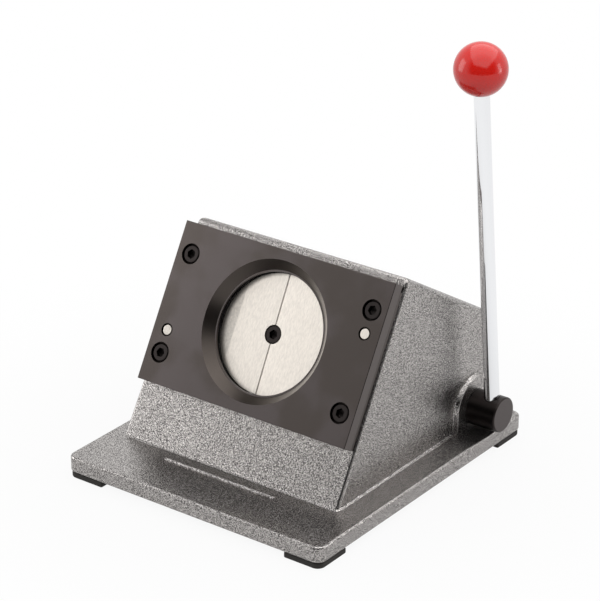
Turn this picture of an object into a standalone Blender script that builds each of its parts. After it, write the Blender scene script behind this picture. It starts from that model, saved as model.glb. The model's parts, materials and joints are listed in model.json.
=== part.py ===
"""Tabletop circle cutter for badge blanks: a lever-driven punch in a sloping cast stand.

Run with blender --background --python part.py, or from the text editor.
Metres, +Z up, operator at -Y, lever on the +X side. The origin is the middle of the
whole object's box, on the table.
"""
from math import asin, atan2, cos, pi, radians, sin

import bmesh
import bpy
from mathutils import Matrix, Vector

# Base slab
base_width = 0.220
base_depth = 0.246
base_height = 0.012
base_corner_radius = 0.007
base_edge_radius = 0.0022
foot_size = 0.030
foot_height = 0.0045
foot_inset = 0.0008
foot_corner_radius = 0.006
foot_edge_radius = 0.001

# Bead on the slab that stops the fallen blanks. It stands at a share of the way from the
# slab's front edge to the housing.
bead_length = 0.096
bead_width = 0.003
bead_height = 0.0016
bead_place_share = 0.77

# Housing, cast in one with the slab. Its depth and height follow from the ram and the shaft.
housing_left_margin = 0.014
housing_right_margin = 0.021
housing_rear_margin = 0.008
housing_edge_radius = 0.004
housing_sink = 0.007
housing_fillet = 0.003
face_angle = radians(60)
front_wall = 0.014
side_wall = 0.007
top_wall = 0.008
rear_wall = 0.007

# Wall inside the housing that guides the ram
bridge_from_face = 0.044
bridge_thickness = 0.018
bridge_height = 0.076

# Die plate and the strips that leave the paper slot open
plate_side_margin = 0.0025
plate_top_margin = 0.00535
plate_rim = 0.00725
plate_thickness = 0.009
plate_chamfer = 0.0008
paper_slot = 0.0027
strip_width = 0.022
strip_top_gap = 0.005
die_land = 0.0022
die_shoulder = 0.0011
die_flare = 0.0064
die_clearance = 0.0004

# Punch
cut_diameter = 0.086
punch_thickness = 0.018
punch_rest_depth = 0.0005
punch_groove = 0.0015
punch_turn = radians(1.5)
punch_socket_depth = 0.006
punch_pin_radius = 0.002
punch_pin_length = 0.009
punch_pin_offset = 0.0095
punch_screw_depth = 0.001

# Screws and dowels in the die plate
screw_radius = 0.004
screw_head_radius = 0.0065
screw_head_height = 0.005
screw_head_chamfer = 0.0006
screw_socket_flats = 0.006
screw_socket_depth = 0.003
screw_length = 0.016
screw_recess_radius = 0.0074
screw_recess_depth = 0.006
screw_from_side = 0.012
screw_from_edge = 0.02195
dowel_radius = 0.004
dowel_length = 0.021
dowel_chamfer = 0.0009
dowel_depth = 0.0005
dowel_mouth = 0.0048
dowel_below_screw = 0.0166
punch_recess_radius = 0.007
punch_screw_length = 0.018
tapped_depth = 0.002

# Ram and its spring
ram_radius = 0.015
ram_flange_rim = 0.002
ram_flange_thickness = 0.008
ram_bush_wall = 0.004
ram_bush_overhang = 0.002
spring_wire_radius = 0.0015
spring_to_ram = 0.003
spring_turns = 6
spring_points_per_turn = 10

# Drive shaft, cam and bushes
shaft_distance = 0.1344
shaft_from_rear = 0.02676
shaft_radius = 0.008
cam_arm = 0.0063
cam_rest_reach = 0.014
cam_width = 0.014
cam_back_radius = 0.012
cam_run_on = radians(10)
cam_heel_angle = radians(30)
cam_toe_angle = radians(35)
cam_collar_radius = 0.0135
cam_collar_length = 0.010
set_screw_radius = 0.003
key_width = 0.005
key_height = 0.005
bush_wall = 0.003
boss_pad_height = 0.003
boss_pad_radius = 0.0245
boss_pad_draft = 0.0028
boss_inner_radius = 0.016
boss_inner_length = 0.006
shaft_tail = 0.004
clip_groove_depth = 0.0009
clip_thickness = 0.0012
clip_width = 0.0026
clip_gap = 0.0045
washer_radius = 0.0125
washer_thickness = 0.0015

# Lever
hub_radius = 0.013
hub_to_slab = 0.00095
hub_beyond_rod = 0.0096
hub_chamfer = 0.0012
rod_radius = 0.0055
rod_from_hub_face = 0.0137
rod_seat = 0.004
rod_neck_chamfer = 0.0008
lever_length = 0.267
lever_lean = radians(6.1)
lever_travel = radians(70)
knob_radius = 0.0185
knob_foot_wall = 0.002
knob_socket_depth = 0.014

# Fits and mesh fineness
seat_gap = 0.0003
cut_overrun = 0.002
weld_distance = 0.000001
turned_weld_distance = 0.00001
large_round_steps = 96
round_steps = 48
knob_steps = 36
rod_steps = 32
small_round_steps = 24
pin_steps = 12
hexagon_sides = 6
arch_steps = 20
fillet_steps = 3
slab_corner_steps = 4
slab_edge_steps = 2
foot_corner_steps = 3
foot_edge_steps = 1
smooth_angle = radians(35)
bevel_angle = radians(40)
inside_corner_angle = radians(20)

# Places that follow from the sizes above
housing_width = base_width - housing_left_margin - housing_right_margin
rod_from_left = housing_left_margin + housing_width + boss_pad_height + seat_gap + rod_from_hub_face
overall_width = rod_from_left + knob_radius
left_x = -overall_width / 2
front_y = -base_depth / 2
base_bottom_z = foot_height
base_top_z = base_bottom_z + base_height
base_right_x = left_x + base_width
housing_left_x = left_x + housing_left_margin
housing_right_x = housing_left_x + housing_width
housing_mid_x = housing_left_x + housing_width / 2
housing_rear_y = -front_y - housing_rear_margin
up_face = Vector((0, cos(face_angle), sin(face_angle)))
out_of_face = Vector((0, -sin(face_angle), cos(face_angle)))
shaft_z = base_top_z + hub_to_slab + hub_radius
shaft_centre = Vector((housing_mid_x, housing_rear_y - shaft_from_rear, shaft_z))
die_centre = shaft_centre + shaft_distance * out_of_face + cam_arm * up_face
die_height_on_face = (die_centre.z - base_top_z) / sin(face_angle)
housing_front_y = die_centre.y - die_height_on_face * cos(face_angle)
punch_radius = cut_diameter / 2
die_bore_radius = punch_radius + die_clearance
die_cone_radius = die_bore_radius + die_shoulder
die_mouth_radius = die_cone_radius + die_flare
plate_width = housing_width - 2 * plate_side_margin
plate_height = 2 * (die_mouth_radius + plate_rim)
face_length = die_height_on_face + plate_height / 2 + plate_top_margin
plate_back = paper_slot
plate_front = plate_back + plate_thickness
screw_column = plate_width / 2 - screw_from_side
screw_row = plate_height / 2 - screw_from_edge
dowel_row = screw_row - dowel_below_screw
spring_radius = ram_radius + spring_to_ram + spring_wire_radius
ram_flange_radius = spring_radius + spring_wire_radius + ram_flange_rim
ram_front = -(punch_rest_depth + punch_thickness - punch_socket_depth) - seat_gap
ram_tail = -(shaft_distance - cam_rest_reach) + seat_gap
bridge_back = -(bridge_from_face + bridge_thickness)
hub_face_x = housing_right_x + boss_pad_height + seat_gap
hub_length = rod_from_hub_face + hub_beyond_rod
shaft_left_x = housing_left_x - boss_pad_height - washer_thickness - clip_thickness - shaft_tail
knob_foot_radius = rod_radius + knob_foot_wall


def start_scene():
    """Empty the scene and make the two collections."""
    for old in list(bpy.data.objects):
        bpy.data.objects.remove(old, do_unlink=True)
    made = []
    for name in ("badge_circle_cutter", "cutters"):
        collection = bpy.data.collections.new(name)
        bpy.context.scene.collection.children.link(collection)
        made.append(collection)
    return made


parts, cutters = start_scene()


def material(name, colour, roughness, metallic=0.0):
    """A Principled material of one colour."""
    made = bpy.data.materials.new(name)
    made.use_nodes = True
    shader = made.node_tree.nodes["Principled BSDF"]
    shader.inputs["Base Color"].default_value = (*colour, 1)
    shader.inputs["Roughness"].default_value = roughness
    shader.inputs["Metallic"].default_value = metallic
    return made


def add_empty(name, place, turn):
    """An axis that parts are parented to. Its rotation is a matrix of unit axes."""
    empty = bpy.data.objects.new(name, None)
    empty.matrix_world = Matrix.Translation(place) @ turn.to_4x4()
    parts.objects.link(empty)
    return empty


def axes(x_axis, y_axis, z_axis):
    """A turn that takes X, Y and Z to the three given directions."""
    return Matrix((x_axis, y_axis, z_axis)).transposed()


def add_object(name, mesh, finish=None, parent=None, place=(0, 0, 0), turn=(0, 0, 0)):
    """Put a mesh in the scene: a part where it has a finish, and a cutter where it has none."""
    made = bpy.data.objects.new(name, mesh)
    made.location = place
    made.rotation_euler = turn
    made.parent = parent
    if finish is None:
        cutters.objects.link(made)
        made.hide_render = True
        made.display_type = "WIRE"
    else:
        mesh.materials.clear()
        mesh.materials.append(finish)
        parts.objects.link(made)
    return made


def finished_mesh(source):
    """The mesh of an object with its modifiers or curve bevel worked out, welded, in its own axes."""
    bpy.context.view_layer.update()
    seen = source.evaluated_get(bpy.context.evaluated_depsgraph_get())
    mesh = bpy.data.meshes.new_from_object(seen)
    work = bmesh.new()
    work.from_mesh(mesh)
    bmesh.ops.remove_doubles(work, verts=work.verts, dist=weld_distance)
    work.to_mesh(mesh)
    work.free()
    mesh.name = source.name
    return mesh


def smooth(mesh):
    """Shade a round piece smooth, with its edges left sharp."""
    mesh.shade_smooth()
    mesh.set_sharp_from_angle(angle=smooth_angle)
    return mesh


def box_mesh(name, size, middle=(0, 0, 0)):
    """A box of a size about a middle."""
    work = bmesh.new()
    bmesh.ops.create_cube(work, size=1)
    bmesh.ops.scale(work, vec=size, verts=work.verts)
    bmesh.ops.translate(work, vec=middle, verts=work.verts)
    mesh = bpy.data.meshes.new(name)
    work.to_mesh(mesh)
    work.free()
    return mesh


def round_off(work, edges, radius, steps):
    """Turn edges into round ones of a radius."""
    bmesh.ops.bevel(work, geom=edges, offset=radius, segments=steps, profile=0.5, affect="EDGES")


def rounded_box_mesh(name, size, corner_radius, edge_radius, corner_steps, edge_steps):
    """A box with its upright corners rounded, and then its top and bottom edges."""
    work = bmesh.new()
    bmesh.ops.create_cube(work, size=1)
    bmesh.ops.scale(work, vec=size, verts=work.verts)
    upright = [e for e in work.edges if abs(e.verts[0].co.z - e.verts[1].co.z) > size[2] / 2]
    round_off(work, upright, corner_radius, corner_steps)
    rims = [e for e in work.edges if abs(e.verts[0].co.z - e.verts[1].co.z) < size[2] / 2]
    round_off(work, rims, edge_radius, edge_steps)
    mesh = bpy.data.meshes.new(name)
    work.to_mesh(mesh)
    work.free()
    return smooth(mesh)


def cylinder_mesh(name, radius, low, high, steps=round_steps, high_radius=None):
    """A cylinder or cone along Z between two heights."""
    top_radius = radius if high_radius is None else high_radius
    work = bmesh.new()
    bmesh.ops.create_cone(
        work, cap_ends=True, segments=steps, radius1=radius, radius2=top_radius, depth=high - low
    )
    bmesh.ops.translate(work, vec=(0, 0, (low + high) / 2), verts=work.verts)
    mesh = bpy.data.meshes.new(name)
    work.to_mesh(mesh)
    work.free()
    return smooth(mesh)


def turned_mesh(name, profile, steps=round_steps, closed=False):
    """A solid of revolution about Z. The profile is radius and height, down the outer side."""
    count = len(profile)
    joins = [(i, i + 1) for i in range(count - 1)]
    if closed:
        joins.append((count - 1, 0))
    line = bpy.data.meshes.new(name)
    line.from_pydata([(radius, 0, height) for radius, height in profile], joins, [])
    turning = bpy.data.objects.new(name, line)
    cutters.objects.link(turning)
    screw = turning.modifiers.new("turn", "SCREW")
    screw.axis = "Z"
    screw.steps = steps
    screw.render_steps = steps
    screw.use_merge_vertices = True
    screw.merge_threshold = turned_weld_distance
    mesh = finished_mesh(turning)
    bpy.data.objects.remove(turning)
    bpy.data.meshes.remove(line)
    mesh.name = name
    return smooth(mesh)


def ring_mesh(name, inner, outer, low, high):
    """A plain ring about Z."""
    section = [(outer, high), (outer, low), (inner, low), (inner, high)]
    return turned_mesh(name, section, closed=True)


def flat_mesh(name, outline, thickness):
    """An outline in X and Y made solid, from half the thickness below to half above."""
    curve = bpy.data.curves.new(name, "CURVE")
    curve.dimensions = "2D"
    curve.fill_mode = "BOTH"
    curve.extrude = thickness / 2
    spline = curve.splines.new("POLY")
    spline.points.add(len(outline) - 1)
    for point, (x, y) in zip(spline.points, outline):
        point.co = (x, y, 0, 1)
    spline.use_cyclic_u = True
    drawing = bpy.data.objects.new(name, curve)
    cutters.objects.link(drawing)
    mesh = finished_mesh(drawing)
    bpy.data.objects.remove(drawing)
    bpy.data.curves.remove(curve)
    mesh.name = name
    return mesh


def combine(target, other, operation):
    """Add a live Boolean to a part."""
    step = target.modifiers.new(other.name, "BOOLEAN")
    step.operation = operation
    step.object = other
    step.solver = "EXACT"


def cut(target, *tools):
    for tool in tools:
        combine(target, tool, "DIFFERENCE")


def join(target, *others):
    for other in others:
        combine(target, other, "UNION")


def arc(centre, radius, start, end, steps):
    """Points on an arc, both ends included."""
    turns = [start + (end - start) * i / steps for i in range(steps + 1)]
    return [(centre[0] + radius * cos(a), centre[1] + radius * sin(a)) for a in turns]


# Finishes
paint = material("grey_hammered_paint", (0.36, 0.35, 0.34), 0.32, 0.6)
black_steel = material("blackened_steel", (0.075, 0.070, 0.068), 0.42, 0.8)
bolt_black = material("black_oxide_bolt", (0.03, 0.028, 0.028), 0.38, 0.7)
bright_steel = material("ground_steel", (0.72, 0.70, 0.66), 0.3, 1.0)
plain_steel = material("turned_steel", (0.42, 0.42, 0.42), 0.35, 1.0)
chrome = material("polished_chrome", (0.78, 0.78, 0.78), 0.08, 1.0)
bronze = material("sintered_bronze", (0.45, 0.27, 0.11), 0.45, 1.0)
spring_steel = material("spring_wire", (0.30, 0.30, 0.31), 0.35, 1.0)
rubber = material("black_rubber", (0.018, 0.016, 0.015), 0.8)
red_plastic = material("red_phenolic", (0.55, 0.012, 0.015), 0.12)

# Axes that the parts are built on
face_turn = axes(Vector((1, 0, 0)), up_face, out_of_face)
face_axis = add_empty("die_face_axis", die_centre, face_turn)
ram_axis = add_empty("ram_axis", die_centre, face_turn)
shaft_turn = axes(up_face, out_of_face, Vector((1, 0, 0)))
shaft_axis = add_empty("shaft_axis", shaft_centre, shaft_turn)
lever_up = Vector((0, -sin(lever_lean), cos(lever_lean)))
lever_turn = axes(Vector((1, 0, 0)), lever_up.cross(Vector((1, 0, 0))), lever_up)
rod_x = hub_face_x + rod_from_hub_face
lever_axis = add_empty("lever_axis", Vector((rod_x, shaft_centre.y, shaft_centre.z)), lever_turn)


def face_side(depth, height):
    """A point in Y and Z: depth inwards from the face, height up the slope from the die's middle."""
    place = die_centre - depth * out_of_face + height * up_face
    return (place.y, place.z)


def on_wall_at(depth, z):
    """Y of the sloping plane that lies depth inside the face, at a height above the table."""
    start = face_side(depth, 0)
    return start[0] + (z - start[1]) * cos(face_angle) / sin(face_angle)


def along_x(name, outline, low_x, high_x):
    """An outline in Y and Z made solid between two places along X."""
    mesh = flat_mesh(name, outline, high_x - low_x)
    turn = axes(Vector((0, 1, 0)), Vector((0, 0, 1)), Vector((1, 0, 0))).to_4x4()
    mesh.transform(Matrix.Translation(((low_x + high_x) / 2, 0, 0)) @ turn)
    return mesh


def roof_z(y, under=0.0):
    """Height of the sloping top at a depth, or of a plane under it."""
    ridge_y, ridge_z = face_side(0, face_length - die_height_on_face - under)
    return ridge_z - (y - ridge_y) * cos(face_angle) / sin(face_angle)


def housing_outline():
    """Side view of the housing, from inside the slab up to the ridge and down to the rear."""
    foot_z = base_top_z - housing_sink
    ridge = face_side(0, face_length - die_height_on_face)
    return [
        (on_wall_at(0, foot_z), foot_z),
        (housing_rear_y, foot_z),
        (housing_rear_y, roof_z(housing_rear_y)),
        ridge,
    ]


def cavity_outline():
    """Side view of the space inside the housing, open at the bottom."""
    low_z = base_bottom_z - cut_overrun
    inner_rear = housing_rear_y - rear_wall
    inner_ridge = face_side(front_wall, face_length - die_height_on_face - top_wall)
    return [
        (on_wall_at(front_wall, low_z), low_z),
        (inner_rear, low_z),
        (inner_rear, roof_z(inner_rear, top_wall)),
        inner_ridge,
    ]


def bevelled(source, width, steps):
    """Round all the sharp edges of a mesh."""
    holder = bpy.data.objects.new(source.name, source)
    cutters.objects.link(holder)
    edge = holder.modifiers.new("edges", "BEVEL")
    edge.width = width
    edge.segments = steps
    edge.limit_method = "ANGLE"
    edge.angle_limit = bevel_angle
    edge.use_clamp_overlap = False
    mesh = finished_mesh(holder)
    bpy.data.objects.remove(holder)
    mesh.name = source.name
    return smooth(mesh)


def with_foot_fillet(mesh):
    """Round the inside corner where the housing rises from the slab."""
    work = bmesh.new()
    work.from_mesh(mesh)
    level = [e for e in work.edges if all(abs(v.co.z - base_top_z) < seat_gap for v in e.verts)]
    paired = [e for e in level if len(e.link_faces) == 2]
    inside = [e for e in paired if e.calc_face_angle_signed() < -inside_corner_angle]
    round_off(work, inside, housing_fillet, fillet_steps)
    filled = bpy.data.meshes.new(mesh.name)
    work.to_mesh(filled)
    work.free()
    return smooth(filled)


def boss_pad_mesh(name, wall_x, outward):
    """An arch-shaped pad round the shaft on a side wall, narrower at its face than at the wall."""
    rows = []
    for drop, inset in ((-cut_overrun, 0), (0, 0), (boss_pad_height, boss_pad_draft)):
        radius = boss_pad_radius - inset
        low = base_top_z - cut_overrun - shaft_centre.z
        line = [(radius, low)] + arc((0, 0), radius, 0, pi, arch_steps) + [(-radius, low)]
        x = wall_x + outward * drop
        rows.append([(x, shaft_centre.y + y, shaft_centre.z + z) for y, z in line])
    count = len(rows[0])
    places = [place for row in rows for place in row]
    faces = [tuple(range(count)), tuple(reversed(range(2 * count, 3 * count)))]
    for row in range(2):
        first = row * count
        faces += [
            (first + i, first + count + i, first + count + (i + 1) % count, first + (i + 1) % count)
            for i in range(count)
        ]
    mesh = bpy.data.meshes.new(name)
    mesh.from_pydata(places, [], faces)
    work = bmesh.new()
    work.from_mesh(mesh)
    bmesh.ops.recalc_face_normals(work, faces=work.faces)
    work.to_mesh(mesh)
    work.free()
    return smooth(mesh)


def make_casting():
    """Slab and hollow housing in one, with the bores and the guide wall."""
    slab_middle = (left_x + base_width / 2, front_y + base_depth / 2, base_bottom_z + base_height / 2)
    slab_mesh = rounded_box_mesh(
        "slab", (base_width, base_depth, base_height), base_corner_radius, base_edge_radius,
        slab_corner_steps, slab_edge_steps,
    )
    slab_mesh.transform(Matrix.Translation(slab_middle))
    shell = add_object("shell", slab_mesh)
    block = along_x("housing_block", housing_outline(), housing_left_x, housing_right_x)
    join(shell, add_object("housing_block", bevelled(block, housing_edge_radius, fillet_steps)))
    casting = add_object("frame_casting", with_foot_fillet(finished_mesh(shell)), paint)

    bead = cylinder_mesh("bead", bead_width / 2, -bead_length / 2, bead_length / 2, pin_steps)
    bead.transform(Matrix.Diagonal((bead_height / (bead_width / 2), 1, 1, 1)))
    bead_y = front_y + bead_place_share * (housing_front_y - front_y)
    bead_place = (housing_mid_x, bead_y, base_top_z)
    join(casting, add_object("bead", bead, place=bead_place, turn=(0, pi / 2, 0)))
    for side, wall_x, outward in (("right", housing_right_x, 1), ("left", housing_left_x, -1)):
        join(casting, add_object(side + "_pad", boss_pad_mesh(side + "_pad", wall_x, outward)))

    inner_left = housing_left_x + side_wall
    inner_right = housing_right_x - side_wall
    cavity = along_x("cavity", cavity_outline(), inner_left, inner_right)
    cut(casting, add_object("cavity", cavity))

    bridge_top = face_length - die_height_on_face - top_wall / 2
    bridge_low = -bridge_height / 2
    bridge = box_mesh(
        "bridge",
        (inner_right - inner_left + side_wall, bridge_top - bridge_low, bridge_thickness),
        (0, (bridge_top + bridge_low) / 2, -(bridge_from_face + bridge_thickness / 2)),
    )
    join(casting, add_object("bridge", bridge, parent=face_axis))
    for side, wall_x, inward in (("right", inner_right, -1), ("left", inner_left, 1)):
        ends = sorted((wall_x - inward * side_wall / 2, wall_x + inward * boss_inner_length))
        low, high = (end - shaft_centre.x for end in ends)
        boss = cylinder_mesh(side + "_boss", boss_inner_radius, low, high)
        join(casting, add_object(side + "_boss", boss, parent=shaft_axis))

    punch_bore = cylinder_mesh(
        "punch_bore", die_bore_radius, -front_wall - cut_overrun, cut_overrun, large_round_steps
    )
    bush_hole_radius = ram_radius + ram_bush_wall + 2 * seat_gap
    bush_bore = cylinder_mesh(
        "ram_bush_bore", bush_hole_radius, bridge_back - cut_overrun, -bridge_from_face + cut_overrun
    )
    cut(casting, add_object("punch_bore", punch_bore, parent=face_axis))
    cut(casting, add_object("ram_bush_bore", bush_bore, parent=face_axis))
    reach = housing_width / 2 + boss_pad_height + cut_overrun
    shaft_bore = cylinder_mesh("shaft_bore", shaft_radius + bush_wall + 2 * seat_gap, -reach, reach)
    cut(casting, add_object("shaft_bore", shaft_bore, parent=shaft_axis))
    return casting


def screw_places():
    """Names and places of the die plate's four screws, across and up the face."""
    return [
        ("upper_left", -screw_column, screw_row),
        ("upper_right", screw_column, screw_row),
        ("lower_left", -screw_column, -screw_row),
        ("lower_right", screw_column, -screw_row),
    ]


def dowel_places():
    """The dowels stand at unlike heights, so the plate fits one way round only."""
    return [("left", -screw_column, -dowel_row), ("right", screw_column, dowel_row)]


def cap_screw_mesh(name, length):
    """A low cap screw with its head's underside at zero and its thread below."""
    top = screw_head_height
    profile = [
        (0, top),
        (screw_head_radius - screw_head_chamfer, top),
        (screw_head_radius, top - screw_head_chamfer),
        (screw_head_radius, 0),
        (screw_radius, 0),
        (screw_radius, -length + screw_head_chamfer),
        (screw_radius - screw_head_chamfer, -length),
        (0, -length),
    ]
    blank = add_object(name + "_blank", turned_mesh(name, profile, small_round_steps))
    corner = screw_socket_flats / 2 / cos(pi / hexagon_sides)
    socket = cylinder_mesh(
        name + "_socket", corner, top - screw_socket_depth, top + cut_overrun, hexagon_sides
    )
    cut(blank, add_object(name + "_socket", socket))
    return finished_mesh(blank)


def make_die():
    """Die plate, its strips, screws and dowels, and their holes in the casting."""
    outer = box_mesh(
        "die_plate", (plate_width, plate_height, plate_thickness), (0, 0, (plate_back + plate_front) / 2)
    )
    plate = add_object("die_plate", bevelled(outer, plate_chamfer, 1), black_steel, face_axis)
    land_top = plate_back + die_land
    slope = die_flare / (plate_front - land_top)
    bore_profile = [
        (0, plate_front + cut_overrun),
        (die_mouth_radius + slope * cut_overrun, plate_front + cut_overrun),
        (die_cone_radius, land_top),
        (die_bore_radius, land_top),
        (die_bore_radius, plate_back - cut_overrun),
        (0, plate_back - cut_overrun),
    ]
    bore = turned_mesh("die_bore", bore_profile, large_round_steps)
    cut(plate, add_object("die_bore", bore, parent=face_axis))

    strip_reach = plate_width / 2
    strip_height = plate_height - strip_top_gap
    strip_thickness = paper_slot - 2 * seat_gap
    strips = {}
    for side, sign in (("left", -1), ("right", 1)):
        middle = (sign * (strip_reach - strip_width / 2), -strip_top_gap / 2, paper_slot / 2)
        mesh = box_mesh(side + "_spacer_strip", (strip_width, strip_height, strip_thickness), middle)
        strips[side] = add_object(side + "_spacer_strip", mesh, plain_steel, face_axis)

    casting = bpy.data.objects["frame_casting"]
    seat = plate_front - screw_recess_depth
    screw = cap_screw_mesh("die_screw", screw_length)
    screw_end = seat + seat_gap - screw_length
    recess = cylinder_mesh(
        "screw_recess", screw_recess_radius, seat, plate_front + cut_overrun, small_round_steps
    )
    hole = cylinder_mesh(
        "screw_hole", screw_radius + seat_gap, screw_end - tapped_depth, seat + cut_overrun, small_round_steps
    )
    for place, across, up in screw_places():
        strip = strips["left" if across < 0 else "right"]
        cut(plate, add_object("recess_" + place, recess, None, face_axis, (across, up, 0)))
        drill = add_object("hole_" + place, hole, None, face_axis, (across, up, 0))
        for piece in (plate, strip, casting):
            cut(piece, drill)
        add_object("die_screw_" + place, screw, bolt_black, face_axis, (across, up, seat + seat_gap))

    dowel_top = plate_front - dowel_depth
    profile = [
        (0, dowel_top),
        (dowel_radius - dowel_chamfer, dowel_top),
        (dowel_radius, dowel_top - dowel_chamfer),
        (dowel_radius, dowel_top - dowel_length + dowel_chamfer),
        (dowel_radius - dowel_chamfer, dowel_top - dowel_length),
        (0, dowel_top - dowel_length),
    ]
    dowel = turned_mesh("dowel_pin", profile, small_round_steps)
    radius = dowel_radius + seat_gap
    hole_profile = [
        (0, plate_front + cut_overrun),
        (dowel_mouth + cut_overrun, plate_front + cut_overrun),
        (radius, plate_front - (dowel_mouth - radius)),
        (radius, dowel_top - dowel_length - seat_gap),
        (0, dowel_top - dowel_length - seat_gap),
    ]
    hole = turned_mesh("dowel_hole", hole_profile, small_round_steps)
    for place, across, up in dowel_places():
        drill = add_object("dowel_hole_" + place, hole, None, face_axis, (across, up, 0))
        for piece in (plate, strips[place], casting):
            cut(piece, drill)
        add_object("dowel_pin_" + place, dowel, bright_steel, face_axis, (across, up, 0))


def make_feet():
    """Four rubber pads under the corners of the slab."""
    size = (foot_size, foot_size, foot_height - seat_gap)
    mesh = rounded_box_mesh(
        "foot", size, foot_corner_radius, foot_edge_radius, foot_corner_steps, foot_edge_steps
    )
    reach = foot_inset + foot_size / 2
    for across, x in (("left", left_x + reach), ("right", base_right_x - reach)):
        for along, y in (("front", front_y + reach), ("rear", -front_y - reach)):
            place = (x, y, (foot_height - seat_gap) / 2)
            add_object("foot_" + along + "_" + across, mesh, rubber, place=place)


def make_punch():
    """Round punch with a shallow groove across its face, its screw and its locating pin."""
    face = -punch_rest_depth
    back = face - punch_thickness
    body = cylinder_mesh("punch", punch_radius, back, face, large_round_steps)
    punch = add_object("punch", body, bright_steel, ram_axis, turn=(0, 0, punch_turn))
    reach = punch_radius + cut_overrun
    rise = punch_groove * cut_overrun / punch_radius
    wedge_outline = [
        (-reach, cut_overrun),
        (-reach, face + rise),
        (0, face - punch_groove),
        (reach, face + rise),
        (reach, cut_overrun),
    ]
    wedge = flat_mesh("punch_groove", wedge_outline, 2 * reach)
    cut(punch, add_object("punch_groove", wedge, None, ram_axis, turn=(pi / 2, 0, punch_turn)))

    head_top = face - punch_groove - punch_screw_depth
    seat = head_top - screw_head_height - seat_gap
    recess = cylinder_mesh("punch_recess", punch_recess_radius, seat, cut_overrun, small_round_steps)
    socket_floor = back + punch_socket_depth
    socket = cylinder_mesh("punch_socket", ram_radius + seat_gap, back - cut_overrun, socket_floor)
    screw_end = seat + seat_gap - punch_screw_length
    hole = cylinder_mesh(
        "punch_hole", screw_radius + seat_gap, screw_end - tapped_depth, seat + cut_overrun, small_round_steps
    )
    pin_high = (ram_front + socket_floor + punch_pin_length) / 2
    pin_low = pin_high - punch_pin_length
    pin_hole = cylinder_mesh(
        "pin_hole", punch_pin_radius + seat_gap, pin_low - seat_gap, pin_high + seat_gap, small_round_steps
    )
    drills = [
        add_object("punch_recess", recess, None, ram_axis),
        add_object("punch_socket", socket, None, ram_axis),
        add_object("punch_hole", hole, None, ram_axis),
        add_object("pin_hole", pin_hole, None, ram_axis, (punch_pin_offset, 0, 0)),
    ]
    cut(punch, *drills)
    screw = cap_screw_mesh("punch_screw", punch_screw_length)
    add_object("punch_screw", screw, bolt_black, ram_axis, (0, 0, seat + seat_gap))
    pin = cylinder_mesh("punch_pin", punch_pin_radius, pin_low, pin_high, pin_steps)
    add_object("punch_pin", pin, plain_steel, ram_axis, (punch_pin_offset, 0, 0))
    return drills[2:]


def make_ram(drills):
    """Ram that carries the punch, with the bush that guides it."""
    flange_front = ram_tail + ram_flange_thickness
    profile = [
        (0, ram_front),
        (ram_radius, ram_front),
        (ram_radius, flange_front),
        (ram_flange_radius, flange_front),
        (ram_flange_radius, ram_tail),
        (0, ram_tail),
    ]
    ram = add_object("ram", turned_mesh("ram", profile), plain_steel, ram_axis)
    cut(ram, *drills)

    bush_inner = ram_radius + seat_gap
    bush_outer = bush_inner + ram_bush_wall
    bush_front = -bridge_from_face + ram_bush_overhang
    bush = ring_mesh("ram_bush", bush_inner, bush_outer, bridge_back, bush_front)
    add_object("ram_bush", bush, bronze, face_axis)


def least_gap(points, wire_radius, neighbours):
    """Least clear distance between stretches of a wound wire that aren't next to each other."""
    found = None
    for i, first in enumerate(points):
        for second in points[i + neighbours:]:
            gap = (first - second).length - 2 * wire_radius
            if found is None or gap < found:
                found = gap
    return found


def make_spring():
    """Compression spring round the ram, between the guide wall and the ram's flange."""
    high = bridge_back - seat_gap
    low = ram_tail + ram_flange_thickness + seat_gap
    straight = 2 * spring_wire_radius
    coil_high = high - straight
    coil_low = low + straight
    count = spring_turns * spring_points_per_turn
    points = [Vector((spring_radius, 0, high))]
    for i in range(count + 1):
        turn = 2 * pi * i / spring_points_per_turn
        height = coil_high + (coil_low - coil_high) * i / count
        points.append(Vector((spring_radius * cos(turn), spring_radius * sin(turn), height)))
    points.append(Vector((spring_radius, 0, low)))
    gap = least_gap(points, spring_wire_radius, spring_points_per_turn // 2)
    print("return spring's least gap to itself, in mm:", round(gap * 1000, 2))
    curve = bpy.data.curves.new("return_spring", "CURVE")
    curve.dimensions = "3D"
    curve.bevel_depth = spring_wire_radius
    curve.bevel_resolution = 1
    curve.use_fill_caps = True
    spline = curve.splines.new("POLY")
    spline.points.add(len(points) - 1)
    for point, place in zip(spline.points, points):
        point.co = (*place, 1)
    wound = bpy.data.objects.new("wound_wire", curve)
    cutters.objects.link(wound)
    mesh = finished_mesh(wound)
    bpy.data.objects.remove(wound)
    add_object("return_spring", smooth(mesh), spring_steel, face_axis)


def cam_outline():
    """Cam that moves a flat face by an even amount for each degree.

    X is up the face and Y is out of it, about the shaft. Its front flank is an involute,
    so the contact always lies on the ram's middle line.
    """
    def flank(turn):
        reach = cam_rest_reach + cam_arm * turn
        return (reach * sin(turn) + cam_arm * cos(turn), reach * cos(turn) - cam_arm * sin(turn))

    first = -cam_run_on
    last = lever_travel + cam_run_on
    points = [flank(first + (last - first) * i / arch_steps) for i in range(arch_steps + 1)]
    nose = points[-1]
    nose_angle = atan2(nose[1], nose[0])
    nose_reach = (nose[0] ** 2 + nose[1] ** 2) ** 0.5
    back_start = nose_angle - asin(cam_back_radius / nose_reach) - cam_toe_angle
    start = points[0]
    back_end = atan2(start[1], start[0]) - 2 * pi + cam_heel_angle
    return points + arc((0, 0), cam_back_radius, back_start, back_end, arch_steps)


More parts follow.
